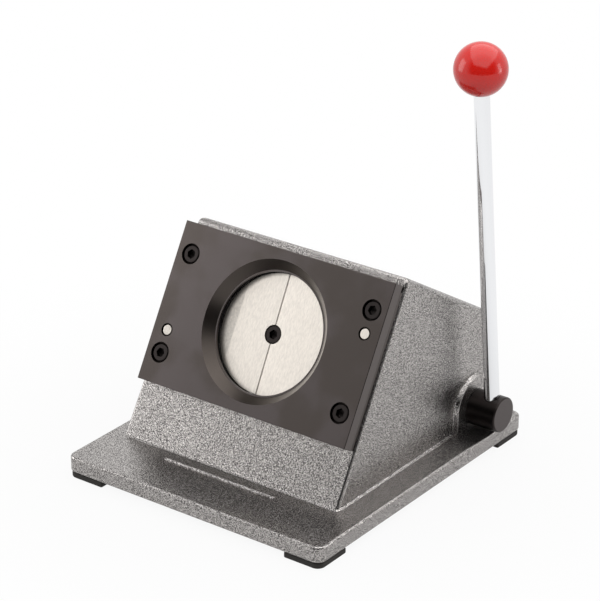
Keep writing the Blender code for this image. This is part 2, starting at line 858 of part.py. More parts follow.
def make_drive():
    """Shaft with its hub, cam, key, set screw, bushes, washer and clip."""
    centre_x = shaft_centre.x
    hub_inner = hub_face_x - centre_x
    hub_outer = hub_inner + hub_length
    left_end = shaft_left_x - centre_x
    pad_left = housing_left_x - boss_pad_height - centre_x
    washer_high = pad_left - seat_gap
    washer_low = washer_high - washer_thickness
    clip_high = washer_low - seat_gap
    clip_low = clip_high - clip_thickness
    groove_radius = shaft_radius - clip_groove_depth
    profile = [
        (0, hub_outer),
        (hub_radius - hub_chamfer, hub_outer),
        (hub_radius, hub_outer - hub_chamfer),
        (hub_radius, hub_inner),
        (shaft_radius, hub_inner),
        (shaft_radius, clip_high + seat_gap),
        (groove_radius, clip_high + seat_gap),
        (groove_radius, clip_low - seat_gap),
        (shaft_radius, clip_low - seat_gap),
        (shaft_radius, left_end + clip_groove_depth),
        (groove_radius, left_end),
        (0, left_end),
    ]
    shaft = add_object("drive_shaft", turned_mesh("drive_shaft", profile), bolt_black, shaft_axis)
    rod_hole = cylinder_mesh("rod_hole", rod_radius + seat_gap, rod_seat - seat_gap, hub_radius + cut_overrun)
    cut(shaft, add_object("rod_hole", rod_hole, parent=lever_axis))

    cam_half = cam_width / 2
    cam_mesh = flat_mesh("cam", cam_outline(), cam_width)
    cam = add_object("eccentric_cam", smooth(cam_mesh), plain_steel, shaft_axis)
    collar_end = cam_half + cam_collar_length
    collar = cylinder_mesh("cam_collar", cam_collar_radius, 0, collar_end)
    join(cam, add_object("cam_collar", collar, parent=shaft_axis))
    bore_radius = shaft_radius + seat_gap
    bore = cylinder_mesh("cam_bore", bore_radius, -cam_half - cut_overrun, collar_end + cut_overrun)
    cut(cam, add_object("cam_bore", bore, parent=shaft_axis))

    key_low = -cam_half + seat_gap
    key_mid = (key_low + collar_end) / 2
    key_length = collar_end - key_low - 2 * seat_gap
    key_place = (-shaft_radius, 0, key_mid)
    key = box_mesh("cam_key", (key_height, key_width, key_length), key_place)
    add_object("cam_key", key, plain_steel, shaft_axis)
    room = 2 * seat_gap
    keyway = box_mesh("keyway", (key_height + room, key_width + room, key_length + room), key_place)
    cut(shaft, add_object("shaft_keyway", keyway, parent=shaft_axis))
    slot_length = key_length + 2 * cam_width
    slot = box_mesh("cam_slot", (key_height + room, key_width + room, slot_length), key_place)
    cut(cam, add_object("cam_slot", slot, parent=shaft_axis))

    screw_mid = cam_half + cam_collar_length / 2
    screw_low = shaft_radius + seat_gap
    grub = cylinder_mesh("cam_set_screw", set_screw_radius, screw_low, cam_collar_radius, small_round_steps)
    outside = cam_collar_radius + cut_overrun
    socket_floor = cam_collar_radius - set_screw_radius
    socket = cylinder_mesh("set_screw_socket", set_screw_radius / 2, socket_floor, outside, hexagon_sides)
    hole = cylinder_mesh("set_screw_hole", set_screw_radius + seat_gap, 0, outside, small_round_steps)
    stand = (0, pi / 2, 0)
    screw = add_object("cam_set_screw", grub, bolt_black, shaft_axis, (0, 0, screw_mid), stand)
    cut(screw, add_object("set_screw_socket", socket, None, shaft_axis, (0, 0, screw_mid), stand))
    cut(cam, add_object("set_screw_hole", hole, None, shaft_axis, (0, 0, screw_mid), stand))

    inner = shaft_radius + seat_gap
    outer = inner + bush_wall
    bush_length = side_wall + boss_pad_height + boss_inner_length
    for side, high in (("right", hub_inner - seat_gap), ("left", pad_left + bush_length)):
        bush = ring_mesh("shaft_bush_" + side, inner, outer, high - bush_length, high)
        add_object("shaft_bush_" + side, bush, bronze, shaft_axis)
    washer = ring_mesh("shaft_washer", inner, washer_radius, washer_low, washer_high)
    add_object("shaft_washer", washer, plain_steel, shaft_axis)

    clip_inner = groove_radius + seat_gap
    clip_outer = clip_inner + clip_width
    ring = ring_mesh("shaft_circlip", clip_inner, clip_outer, clip_low, clip_high)
    clip = add_object("shaft_circlip", ring, spring_steel, shaft_axis)
    reach = clip_outer + cut_overrun
    opening = box_mesh(
        "clip_opening", (reach, clip_gap, clip_thickness + cut_overrun),
        (reach / 2, 0, (clip_low + clip_high) / 2),
    )
    cut(clip, add_object("clip_opening", opening, parent=shaft_axis))


def make_lever():
    """Chromed rod and red ball knob, in the lever's own axes with Z along the rod."""
    knob_bottom = lever_length - knob_radius * cos(asin(knob_foot_radius / knob_radius))
    rod_end = knob_bottom + knob_socket_depth
    rod_profile = [
        (0, rod_end),
        (rod_radius - rod_neck_chamfer, rod_end),
        (rod_radius, rod_end - rod_neck_chamfer),
        (rod_radius, rod_seat + rod_neck_chamfer),
        (rod_radius - rod_neck_chamfer, rod_seat),
        (0, rod_seat),
    ]
    add_object("lever_rod", turned_mesh("lever_rod", rod_profile, rod_steps), chrome, lever_axis)

    socket_radius = rod_radius + seat_gap
    end_angle = -pi / 2 + asin(knob_foot_radius / knob_radius)
    ball = arc((0, lever_length), knob_radius, pi / 2, end_angle, arch_steps)
    ball[0] = (0, lever_length + knob_radius)
    profile = ball + [
        (socket_radius, knob_bottom),
        (socket_radius, rod_end + seat_gap),
        (0, rod_end + seat_gap),
    ]
    knob = turned_mesh("ball_knob", profile, knob_steps)
    add_object("ball_knob", knob, red_plastic, lever_axis)


make_casting()
make_die()
make_feet()
make_ram(make_punch())
make_spring()
make_drive()
make_lever()
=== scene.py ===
"""Badge circle cutter: fine shapes, finishes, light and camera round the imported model.

Laid out as an add-on, with one operator for each piece or group of like pieces, and run as a
script. Metres, +Z up, operator at -Y, lever on the +X side.
"""

import json
from functools import wraps
from math import cos, pi, radians, sin, tau

import bmesh
import bpy
from bpy.props import FloatProperty, FloatVectorProperty, IntProperty, PointerProperty
from bpy.types import Operator, Panel, PropertyGroup
from mathutils import Matrix, Vector


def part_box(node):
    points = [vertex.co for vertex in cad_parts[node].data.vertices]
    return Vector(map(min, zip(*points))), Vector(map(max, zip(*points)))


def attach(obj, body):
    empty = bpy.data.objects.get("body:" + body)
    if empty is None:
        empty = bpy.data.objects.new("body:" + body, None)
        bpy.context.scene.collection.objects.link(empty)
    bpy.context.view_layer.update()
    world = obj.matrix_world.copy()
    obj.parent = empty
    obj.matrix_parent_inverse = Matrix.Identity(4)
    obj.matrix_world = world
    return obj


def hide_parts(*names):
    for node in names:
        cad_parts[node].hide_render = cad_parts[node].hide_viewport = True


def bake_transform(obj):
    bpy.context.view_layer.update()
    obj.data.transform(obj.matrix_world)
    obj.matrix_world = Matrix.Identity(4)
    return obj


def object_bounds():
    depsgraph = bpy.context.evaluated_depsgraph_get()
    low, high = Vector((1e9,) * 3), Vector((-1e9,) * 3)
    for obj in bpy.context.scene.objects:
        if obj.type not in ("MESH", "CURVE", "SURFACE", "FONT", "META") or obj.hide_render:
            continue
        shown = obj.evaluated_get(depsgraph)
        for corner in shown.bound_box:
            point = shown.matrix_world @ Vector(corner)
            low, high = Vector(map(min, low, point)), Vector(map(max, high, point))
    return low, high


bl_info = {
    "name": "Badge Circle Cutter",
    "version": (1, 0, 0),
    "blender": (4, 5, 0),
    "location": "3D View > Sidebar > Cutter",
    "description": "Models the pieces of a tabletop circle cutter for badge blanks",
    "category": "Add Mesh",
}

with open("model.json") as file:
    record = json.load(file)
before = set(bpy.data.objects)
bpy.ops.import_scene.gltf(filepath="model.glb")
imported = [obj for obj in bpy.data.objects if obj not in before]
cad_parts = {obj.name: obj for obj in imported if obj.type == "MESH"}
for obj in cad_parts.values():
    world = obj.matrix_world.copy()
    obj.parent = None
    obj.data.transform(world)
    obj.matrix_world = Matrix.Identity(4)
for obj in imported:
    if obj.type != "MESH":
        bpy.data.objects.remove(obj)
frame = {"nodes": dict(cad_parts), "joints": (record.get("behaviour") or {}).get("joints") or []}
cad_low, cad_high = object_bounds()

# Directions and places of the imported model
joints = {joint["name"]: joint for joint in frame["joints"]}
across = Vector((1, 0, 0))
upright = Vector((0, 0, 1))
out_of_face = Vector(joints["ram_slide"]["axis"]).normalized()
up_face = out_of_face.cross(across)
shaft_middle = Vector(joints["lever_hinge"]["pos_m"])
stand_low, stand_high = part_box("frame_casting")
plate_low, plate_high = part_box("die_plate")
plate_middle = (plate_low + plate_high) / 2

# The point that the camera looks at
aim = Vector((0.00789, -0.01814, 0.13137))

# Walls and bosses inside the stand
front_wall = 0.014
side_wall = 0.007
top_wall = 0.008
rear_wall = 0.007
bridge_from_face = 0.044
bridge_thickness = 0.018
bridge_half_height = 0.038
boss_radius = 0.016
boss_length = 0.006

# Slopes of the pad round the shaft: its flank, and the short steps that curve into it
pad_flank = radians(62)
pad_tilts = [radians(degrees) for degrees in (12, 25, 37, 50)]
pad_curve = 0.00014

# Small sizes that nobody would change
screw_hole_depth = 0.018
plate_break = 0.00018
screw_break = 0.00014
socket_depth = 0.0038
pin_hole_radius = 0.0023
dowel_depth = 0.0004
key_slot = 0.0056
ram_bush_wall = 0.004
shaft_bush_wall = 0.003
clip_groove = 0.0009
spring_wire_radius = 0.0015
foot_inset = 0.001
foot_corner = 0.0012
foot_rim = 0.0009

# The recess round the punch screw's head, as a share of the head
head_room = 1.08

# Where a painted dark reflection begins on the left of the punch's face, and over what width it fades in
reflection_edge_x = plate_middle.x - 0.032
reflection_edge_fade = 0.0004

# Degrees by which the screws' sockets and the punch's groove happen to be turned
socket_turns = {"upper_left": 12, "upper_right": 47, "lower_left": 31, "lower_right": 4, "punch": 21}
punch_turn = 1.5

# Steps round the hub's rim
rim_turns = (0, 0.4, 0.8, 1.2, pi / 2)

# Clearance, how far a cutting tool stands out, and how near two points are the same
fit = 0.0003
overrun = 0.002
weld = 0.00001

# Angles between faces that count as one plane, as a fold and as a corner
same_plane = radians(2)
least_fold = radians(20)
smooth_angle = radians(32)

# How far a face has to point along a direction, or outwards at the hub's end
nearly = 0.99
end_facing = 0.9

# How much of the way outwards the die's cone points, and the least area of the plate's sides
cone_facing = (0.5, 0.8)
least_side = 0.0001

# Steps round turned pieces and wire
fine_steps = 128
round_steps = 64
small_steps = 40
wire_sides = 16

# Light that the object gets from all round
studio_fill = 0.65

# The studio's dark side, which gloss shows: its turn from the camera, its height, and how far it is
# wholly dark and ends
dark_side_turn = radians(4)
dark_side_height = radians(18)
dark_side_full = radians(44)
dark_side_ends = radians(76)

# Heights at which the ceiling starts to dim and is fully dim
ceiling_starts = radians(38)
ceiling_full = radians(58)

# The floor, and the distances between which it turns white
floor_radius = 3
floor_sides = 96
sweep_starts = 0.1
sweep_ends = 0.38

# The camera's sensor, in millimetres
sensor_width = 36


def linear(hex_colour):
    """An sRGB hex colour as linear red, green and blue."""
    parts = [int(hex_colour[i:i + 2], 16) / 255 for i in (1, 3, 5)]
    return tuple(p / 12.92 if p <= 0.04045 else ((p + 0.055) / 1.055) ** 2.4 for p in parts)


def length(label, metres, about):
    """A size that a user may change."""
    return FloatProperty(
        name=label, description=about, default=metres, min=0, precision=5, subtype="DISTANCE", unit="LENGTH"
    )


def angle(label, degrees, about):
    """An angle that a user may change."""
    return FloatProperty(name=label, description=about, default=radians(degrees), subtype="ANGLE")


def power(label, watts, about):
    """A softbox's power that a user may change."""
    return FloatProperty(name=label, description=about, default=watts, min=0)


def colour(label, hex_colour, about):
    """A colour that a user may change."""
    return FloatVectorProperty(
        name=label, description=about, default=linear(hex_colour), size=3, min=0, max=1, subtype="COLOR"
    )


class CutterSizes(PropertyGroup):
    """Sizes of the cutter's pieces."""

    slab_thickness: length("Slab thickness", 0.012, "Thickness of the slab under the housing")
    slab_corner: length("Slab corner", 0.007, "Radius of the slab's upright corners")
    slab_edge: length("Slab edge", 0.0016, "Radius of the slab's upper and lower edges")
    left_margin: length("Left margin", 0.0145, "Slab beside the housing on the left")
    right_margin: length("Right margin", 0.021, "Slab beside the housing on the lever's side")
    rear_margin: length("Rear margin", 0.008, "Slab behind the housing")
    roof_pitch: angle("Roof pitch", 31.3, "Slope of the housing's top")
    left_draft: angle("Left draft", 2.1, "Lean of the left wall, which lets the pattern out of the sand")
    right_draft: angle("Right draft", 0.4, "Lean of the right wall")
    housing_edge: length("Housing edge", 0.004, "Radius of the housing's outer edges")
    face_edge: length("Face edge", 0.0022, "Radius of the edges beside the sloping face")
    housing_fillet: length("Housing fillet", 0.0018, "Radius where the housing meets the slab")
    bead_length: length("Bead length", 0.096, "Length of the bead that stops the fallen blanks")
    bead_width: length("Bead width", 0.003, "Width of that bead")
    bead_height: length("Bead height", 0.0016, "Height of that bead")
    bead_from_front: length("Bead place", 0.037, "Distance of the bead from the slab's front")
    pad_radius: length("Pad radius", 0.0245, "Radius of the arch-shaped pad round the shaft")
    pad_height: length("Pad height", 0.003, "Height of that pad over the wall")
    plate_width: length("Plate width", 0.180, "Width of the die plate")
    plate_height: length("Plate height", 0.1163, "Height of the die plate along the face")
    plate_thickness: length("Plate thickness", 0.009, "Thickness of the die plate")
    plate_chamfer: length("Plate chamfer", 0.0003, "Chamfer round the die plate")
    plate_top_margin: length("Ridge margin", 0.0058, "From the die plate's upper edge to the ridge")
    paper_slot: length("Paper slot", 0.0027, "Gap behind the die plate where the paper hangs")
    die_radius: length("Die radius", 0.0434, "Radius of the die's cutting edge")
    die_land: length("Die land", 0.0016, "Depth of the die's straight bore")
    die_shoulder: length("Die shoulder", 0.0011, "Step between the bore and the cone")
    mouth_radius: length("Mouth radius", 0.0509, "Radius of the die's conical mouth at the front")
    punch_groove: length("Punch groove", 0.0003, "Depth of the shallow shear groove in the punch")
    groove_width: length("Groove width", 0.0012, "Width of the fine line at the groove's bottom")
    screw_column: length("Screw column", 0.078, "Distance of the die plate's screws from its middle")
    screw_row: length("Screw row", 0.0362, "Height of the die plate's screws over its middle")
    screw_recess: length("Screw recess", 0.0075, "Radius of the recess round a screw's head")
    recess_depth: length("Recess depth", 0.006, "Depth of that recess")
    head_radius: length("Screw head", 0.0063, "Radius of a cap screw's head")
    head_height: length("Head height", 0.005, "Height of a cap screw's head")
    thread_radius: length("Screw radius", 0.004, "Radius of a cap screw's shank")
    socket_flats: length("Socket flats", 0.006, "Width of the hexagon socket across its flats")
    dowel_radius: length("Dowel radius", 0.0036, "Radius of the locating dowels")
    dowel_mouth: length("Dowel mouth", 0.0047, "Radius of the recess round a dowel")
    dowel_gap: length("Dowel gap", 0.003, "Depth of that recess")
    dowel_row: length("Dowel row", 0.0196, "Height of the right dowel over the plate's middle")
    hub_radius: length("Hub radius", 0.013, "Radius of the shaft's thick end")
    hub_edge: length("Hub edge", 0.0012, "Radius of the hub's rim")
    rod_seat: length("Rod seat", 0.004, "Distance of the rod's foot from the shaft's axis")
    spring_turns: IntProperty(
        name="Spring turns", description="Turns of the return spring", default=6, min=1
    )
    lever_lean: angle("Lever lean", 6.1, "Forward lean of the lever at rest")


class CutterColours(PropertyGroup):
    """Colours of the cutter's finishes."""

    flake: colour("Flake", "#CFCBC8", "Bright flake in the hammertone enamel's cells")
    vein: colour("Vein", "#454140", "Dark veins between the enamel's cells")
    blackened: colour("Blackened steel", "#514B48", "Die plate, ground and blackened")
    blued: colour("Blued steel", "#585251", "Paler, bluer clouds in the blackened skin")
    # Lighter than the blackened face: a painted reflection on the plate's sides and strips
    milled_sheen: colour("Milled steel", "#625C5A", "Sides of the die plate and its strips")
    # Darker than the blackened face: painted shade in the die's mouth
    cone: colour("Cone", "#4D4743", "Mouth of the die")
    shaft: colour("Shaft end", "#544E4D", "Faced end of the drive shaft")
    oxide: colour("Black oxide", "#332F2E", "Screws and drive shaft")
    ground: colour("Ground steel", "#E3DCD3", "Punch and dowels")
    turned: colour("Turned steel", "#A5A3A0", "Ram, washer and cam")
    bronze: colour("Bronze", "#B08048", "Sintered bushes")
    wire: colour("Spring wire", "#8D8D90", "Return spring and clip")
    chrome: colour("Chrome", "#F4F5F7", "Plated lever rod")
    red: colour("Knob", "#BF150C", "Moulded ball knob")
    rubber: colour("Rubber", "#221E1B", "Pads under the slab")


class CutterStudio(PropertyGroup):
    """Camera and light."""

    azimuth: angle("Azimuth", 36.84, "Camera's turn from the front towards the lever")
    elevation: angle("Elevation", 24.80, "Camera's height over the horizon")
    distance: length("Distance", 1.8338, "Camera's distance from the point that it looks at")
    focal: FloatProperty(name="Focal length", description="Lens for a 36 mm wide sensor", default=160.98)
    top_light: power("Top light", 4.2, "Power of the overhead softbox in watts")
    left_light: power("Left light", 5.0, "Power of the left softbox in watts")
    right_light: power("Right light", 1.5, "Power of the right softbox in watts")


def placed(origin, x_axis, y_axis, z_axis):
    """The matrix that takes a piece from its own axes to its place."""
    return Matrix.Translation(origin) @ Matrix((x_axis, y_axis, z_axis)).transposed().to_4x4()


def face_axes(sizes):
    """Axes on the sloping face: X across, Y up the slope and Z out of it, about the die's middle."""
    depth = sizes.paper_slot + sizes.plate_thickness / 2
    return placed(plate_middle - depth * out_of_face, across, up_face, out_of_face)


def shaft_axes():
    """Axes on the shaft, with Z along it."""
    return placed(shaft_middle, up_face, out_of_face, across)


def lever_axes(sizes):
    """Axes on the lever, with Z along its rod."""
    up = Vector((0, -sin(sizes.lever_lean), cos(sizes.lever_lean)))
    rod_low, rod_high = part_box("lever_rod")
    foot = Vector(((rod_low.x + rod_high.x) / 2, shaft_middle.y, shaft_middle.z))
    return placed(foot, across, up.cross(across), up)


def reach(packed, matrix):
    """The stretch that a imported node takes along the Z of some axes."""
    back = matrix.inverted()
    heights = [(back @ vertex.co).z for vertex in frame["nodes"][packed].data.vertices]
    return min(heights), max(heights)


def girth(packed, matrix):
    """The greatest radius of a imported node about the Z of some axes."""
    back = matrix.inverted()
    return max((back @ vertex.co).xy.length for vertex in frame["nodes"][packed].data.vertices)


# Modelling

def select_only(piece):
    """Make one object the selected and active one, in object mode."""
    if bpy.context.object and bpy.context.object.mode != "OBJECT":
        bpy.ops.object.mode_set(mode="OBJECT")
    bpy.ops.object.select_all(action="DESELECT")
    piece.select_set(True)
    bpy.context.view_layer.objects.active = piece


def edit(piece):
    """Go into a piece's edit mode with all of it selected."""
    select_only(piece)
    bpy.ops.object.mode_set(mode="EDIT")
    bpy.ops.mesh.select_all(action="SELECT")


def leave():
    """Go back to object mode."""
    bpy.ops.object.mode_set(mode="OBJECT")


def pick(piece, kind, wanted):
    """In edit mode, select the faces or edges for which a test holds."""
    bpy.ops.mesh.select_mode(type=kind)
    bpy.ops.mesh.select_all(action="DESELECT")
    shape = bmesh.from_edit_mesh(piece.data)
    for part in shape.faces if kind == "FACE" else shape.edges:
        if wanted(part):
            part.select_set(True)
    bmesh.update_edit_mesh(piece.data)


def climb(edge):
    """How far an edge goes up."""
    return abs(edge.verts[0].co.z - edge.verts[1].co.z)


def points_along(face, way):
    """Whether a face points along a direction."""
    return face.normal.dot(way) > nearly


def settle(piece, matrix=None):
    """Put a piece in its place and write that place into its mesh."""
    select_only(piece)
    if matrix is not None:
        piece.matrix_world = matrix @ piece.matrix_world
    bpy.ops.object.transform_apply(location=True, rotation=True, scale=True)
    return piece


def name_new(name):
    """Name the primitive that was just added, and write its place into its mesh."""
    piece = bpy.context.object
    piece.name = name
    return settle(piece)


def block(name, low, high):
    """A box between two corners."""
    low, high = Vector(low), Vector(high)
    bpy.ops.object.select_all(action="DESELECT")
    bpy.ops.mesh.primitive_cube_add(size=1, location=(low + high) / 2, scale=high - low)
    return name_new(name)


def bar(name, radius, low, high, steps=round_steps):
    """A round bar along Z between two heights."""
    bpy.ops.object.select_all(action="DESELECT")
    bpy.ops.mesh.primitive_cylinder_add(
        vertices=steps, radius=radius, depth=high - low, location=(0, 0, (low + high) / 2)
    )
    return name_new(name)


def tidy(piece):
    """Merge doubles and point all faces outwards."""
    edit(piece)
    bpy.ops.mesh.remove_doubles(threshold=weld)
    bpy.ops.mesh.normals_make_consistent(inside=False)
    leave()
    return piece


def turned(name, profile, steps=round_steps, ring=False):
    """A turned piece: a circle that is extruded and resized through radii and heights.

    A solid starts at its underside. A ring's profile comes back to its start.
    """
    radius, height = profile[0]
    bpy.ops.object.select_all(action="DESELECT")
    bpy.ops.mesh.primitive_circle_add(
        vertices=steps, radius=radius, fill_type="NOTHING" if ring else "NGON", location=(0, 0, height)
    )
    piece = name_new(name)
    edit(piece)
    for next_radius, next_height in profile[1:]:
        move = {"value": (0, 0, next_height - height)}
        if ring:
            bpy.ops.mesh.extrude_edges_move(TRANSFORM_OT_translate=move)
        else:
            bpy.ops.mesh.extrude_region_move(TRANSFORM_OT_translate=move)
        grow = next_radius / radius
        bpy.ops.transform.resize(value=(grow, grow, 1), center_override=(0, 0, next_height))
        radius, height = next_radius, next_height
    leave()
    return tidy(piece)


def slice_off(piece, point, normal):
    """Cut a piece along a plane, take away what lies on the normal's side, and close it."""
    edit(piece)
    outwards = Vector(normal).normalized()
    bpy.ops.mesh.bisect(plane_co=point, plane_no=outwards, use_fill=True, clear_outer=True)
    leave()
    return piece


def round_edges(piece, wanted, radius, steps):
    """Bevel the edges for which a test holds."""
    edit(piece)
    pick(piece, "EDGE", wanted)
    bpy.ops.mesh.bevel(offset=radius, segments=steps, affect="EDGES", clamp_overlap=False)
    leave()
    return piece


def weigh_edges(piece, wanted, weight):
    """Add to the bevel weight of the edges for which a test holds."""
    edit(piece)
    pick(piece, "EDGE", wanted)
    bpy.ops.transform.edge_bevelweight(value=weight)
    leave()
    return piece


def apply_step(piece, kind, **settings):
    """Add a modifier and apply it."""
    select_only(piece)
    step = piece.modifiers.new("step", kind)
    for name, value in settings.items():
        setattr(step, name, value)
    bpy.ops.object.modifier_apply(modifier=step.name)
    return piece


def copied(piece, name):
    """A copy of a piece, with a mesh of its own."""
    copy = bpy.data.objects.new(name, piece.data.copy())
    bpy.context.scene.collection.objects.link(copy)
    return copy


def discard(piece):
    """Remove a piece and its mesh."""
    spent = piece.data
    bpy.data.objects.remove(piece)
    bpy.data.meshes.remove(spent)


def combine(piece, tool, operation="DIFFERENCE"):
    """Cut one piece with another, or join them, and remove the second."""
    apply_step(piece, "BOOLEAN", operation=operation, object=tool, solver="EXACT")
    discard(tool)
    return piece


def soften(piece, width):
    """Break all the sharp edges of a piece."""
    return apply_step(
        piece, "BEVEL", width=width, segments=2, limit_method="ANGLE", angle_limit=smooth_angle
    )


def shade(piece):
    """Shade round surfaces smooth and leave the corners sharp."""
    select_only(piece)
    bpy.ops.object.shade_smooth_by_angle(angle=smooth_angle)
    return apply_step(piece, "WEIGHTED_NORMAL", keep_sharp=True)


def dress(piece, finish, body, packed):
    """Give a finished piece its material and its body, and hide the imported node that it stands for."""
    piece.data.materials.clear()
    piece.data.materials.append(finish)
    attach(piece, body)
    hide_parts(packed)
    return piece


def add_finish(piece, finish, wanted):
    """Give the faces for which a test holds a finish of their own."""
    piece.data.materials.append(finish)
    edit(piece)
    pick(piece, "FACE", wanted)
    piece.active_material_index = len(piece.data.materials) - 1
    bpy.ops.object.material_slot_assign()
    leave()
    return piece


def refined(packed, name, width):
    """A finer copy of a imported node, with its triangles merged and its edges broken."""
    piece = copied(frame["nodes"][packed], name)
    edit(piece)
    bpy.ops.mesh.remove_doubles(threshold=weld)
    bpy.ops.mesh.dissolve_limited(angle_limit=same_plane)
    bpy.ops.mesh.normals_make_consistent(inside=False)
    leave()
    if "sharp_face" in piece.data.attributes:
        piece.data.attributes.remove(piece.data.attributes["sharp_face"])
    return shade(soften(piece, width))


# Finishes

made_finishes = {}

# A Mix node's sockets by number, because those for numbers and those for colours share their names
number_first = 2
number_second = 3
colour_first = 6
colour_second = 7
colour_result = 2


def repeats(millimetres):
    """How often a pattern of that size comes in a metre.

    Real pores, grinding lines and turning marks are a tenth of a millimetre or less, too fine to show
    in the render, so they are drawn about a millimetre wide.
    """
    return 1000 / millimetres


def node(tree, kind, settings=None, links=None):
    """Add a shader node with its settings and the outputs that its inputs are linked to."""
    made = tree.nodes.new("ShaderNode" + kind)
    for name, value in (settings or {}).items():
        if isinstance(name, str) and hasattr(made, name):
            setattr(made, name, value)
        else:
            made.inputs[name].default_value = value
    for name, source in (links or {}).items():
        tree.links.new(source, made.inputs[name])
    return made


def made_once(make):
    """Let a finish be made when it is first asked for, and handed out again after that."""
    @wraps(make)
    def finish(colours):
        if make not in made_finishes:
            made_finishes[make] = make(colours)
        return made_finishes[make]

    return finish


def start_finish(name, base, roughness, metallic, **sockets):
    """A material with its Principled shader's plain values set."""
    finish = bpy.data.materials.new(name)
    finish.use_nodes = True
    shader = finish.node_tree.nodes["Principled BSDF"]
    shader.inputs["Base Color"].default_value = (*base, 1)
    shader.inputs["Roughness"].default_value = roughness
    shader.inputs["Metallic"].default_value = metallic
    for label, value in sockets.items():
        shader.inputs[label].default_value = value
    return finish, finish.node_tree, shader


def two_tones(tree, pattern, first, second, low, high):
    """Let the base colour go from one to the other where a pattern passes between two values."""
    share = node(
        tree, "MapRange", {"interpolation_type": "SMOOTHSTEP", "From Min": low, "From Max": high},
        {"Value": pattern},
    )
    tint = node(
        tree, "Mix", {"data_type": "RGBA", colour_first: (*first, 1), colour_second: (*second, 1)},
        {"Factor": share.outputs["Result"]},
    )
    tree.links.new(tint.outputs[colour_result], tree.nodes["Principled BSDF"].inputs["Base Color"])


def show_pattern(tree, pattern, shine=None, relief=None):
    """Let a pattern vary the roughness between two values, and raise it by a strength and a depth."""
    shader = tree.nodes["Principled BSDF"]
    if shine:
        spread = node(tree, "MapRange", {"To Min": shine[0], "To Max": shine[1]}, {"Value": pattern})
        tree.links.new(spread.outputs["Result"], shader.inputs["Roughness"])
    if relief:
        bump = node(tree, "Bump", {"Strength": relief[0], "Distance": relief[1]}, {"Height": pattern})
        tree.links.new(bump.outputs["Normal"], shader.inputs["Normal"])


def grained(start, millimetres, detail, shine=None, relief=None):
    """Give a started finish one even grain, which varies its shine, its relief or both."""
    finish, tree, _ = start
    place = node(tree, "TexCoord").outputs["Object"]
    grain = node(tree, "TexNoise", {"Scale": repeats(millimetres), "Detail": detail}, {"Vector": place})
    show_pattern(tree, grain.outputs["Fac"], shine, relief)
    return finish


@made_once
def hammertone_enamel(colours):
    """Grey hammertone enamel, sprayed and stoved on cast iron.

    Bright flake gathers in raised cells about a millimetre across, with dark veins in the hollows
    between them, so that it glitters and gives soft, broken reflections. The pattern is turned,
    because its lattice would fade on level walls.
    """
    finish, tree, _ = start_finish("grey_hammertone_enamel", colours.vein, roughness=0.17, metallic=0.96)
    place = node(tree, "TexCoord").outputs["Object"]
    turned_place = node(tree, "Mapping", {"Rotation": (0.5, 0.4, 0.3)}, {"Vector": place}).outputs["Vector"]
    cells = node(tree, "TexNoise", {"Scale": repeats(0.52), "Detail": 1.0}, {"Vector": turned_place})
    two_tones(tree, cells.outputs["Fac"], colours.vein, colours.flake, low=0.42, high=0.58)
    show_pattern(tree, cells.outputs["Fac"], relief=(1.0, 0.00014))
    return finish


@made_once
def blackened_steel(colours):
    """Tool steel, ground flat and chemically blackened: satin, brownish black, slightly cloudy."""
    finish, tree, _ = start_finish("blackened_ground_steel", colours.blackened, roughness=0.36, metallic=1.0)
    place = node(tree, "TexCoord").outputs["Object"]
    clouds = node(tree, "TexNoise", {"Scale": repeats(38), "Detail": 3.0}, {"Vector": place})
    two_tones(tree, clouds.outputs["Fac"], colours.blackened, colours.blued, low=0.42, high=0.62)
    show_pattern(tree, clouds.outputs["Fac"], shine=(0.2, 0.3))
    drawn = node(tree, "Mapping", {"Scale": (0.02, 1, 1)}, {"Vector": place}).outputs["Vector"]
    lines = node(tree, "TexNoise", {"Scale": repeats(0.5), "Detail": 2.0}, {"Vector": drawn})
    show_pattern(tree, lines.outputs["Fac"], relief=(0.25, 0.00001))
    return finish


@made_once
def milled_edge_painted_sheen(colours):
    """Milled sides of the die plate and its strips: lighter than the face as a painted reflection, with
    lines.
    """
    start = start_finish("milled_steel_edge_painted_sheen", colours.milled_sheen, roughness=0.34, metallic=1.0)
    return grained(start, millimetres=1.5, detail=3.0, shine=(0.28, 0.4), relief=(0.2, 0.00002))


@made_once
def cone_painted_shade(colours):
    """Turned mouth of the die: darker than the face as painted shade, nearly black, with a soft gloss."""
    start = start_finish("blackened_turned_steel_painted_shade", colours.cone, roughness=0.3, metallic=1.0)
    return grained(start, millimetres=6, detail=3.0, shine=(0.26, 0.34))


@made_once
def faced_end(colours):
    """End of the shaft, faced in the lathe and thinly blackened: brownish grey, with fine rings."""
    finish, tree, _ = start_finish("faced_steel_end", colours.shaft, roughness=0.3, metallic=1.0)
    place = node(tree, "TexCoord").outputs["Object"]
    # The rings run round the shaft's axis, so the way along it hardly counts
    centred = node(tree, "Mapping", {"Location": tuple(-shaft_middle)}, {"Vector": place}).outputs["Vector"]
    flat = node(tree, "VectorMath", {"operation": "MULTIPLY", 1: (0.05, 1, 1)}, {0: centred})
    radius = node(tree, "VectorMath", {"operation": "LENGTH"}, {0: flat.outputs["Vector"]})
    turns = node(tree, "Math", {"operation": "MULTIPLY", 1: repeats(0.9)}, {0: radius.outputs["Value"]})
    rings = node(
        tree, "TexNoise", {"noise_dimensions": "1D", "Scale": 1.0, "Detail": 2.0}, {"W": turns.outputs[0]}
    )
    show_pattern(tree, rings.outputs["Fac"], shine=(0.24, 0.38), relief=(0.25, 0.00002))
    return finish


@made_once
def black_oxide(colours):
    """Hardened steel with a black oxide skin and a film of oil: near black with a satin gloss."""
    start = start_finish("black_oxide_steel", colours.oxide, roughness=0.34, metallic=1.0)
    return grained(start, millimetres=1.2, detail=3.0, shine=(0.27, 0.42), relief=(0.2, 0.00002))


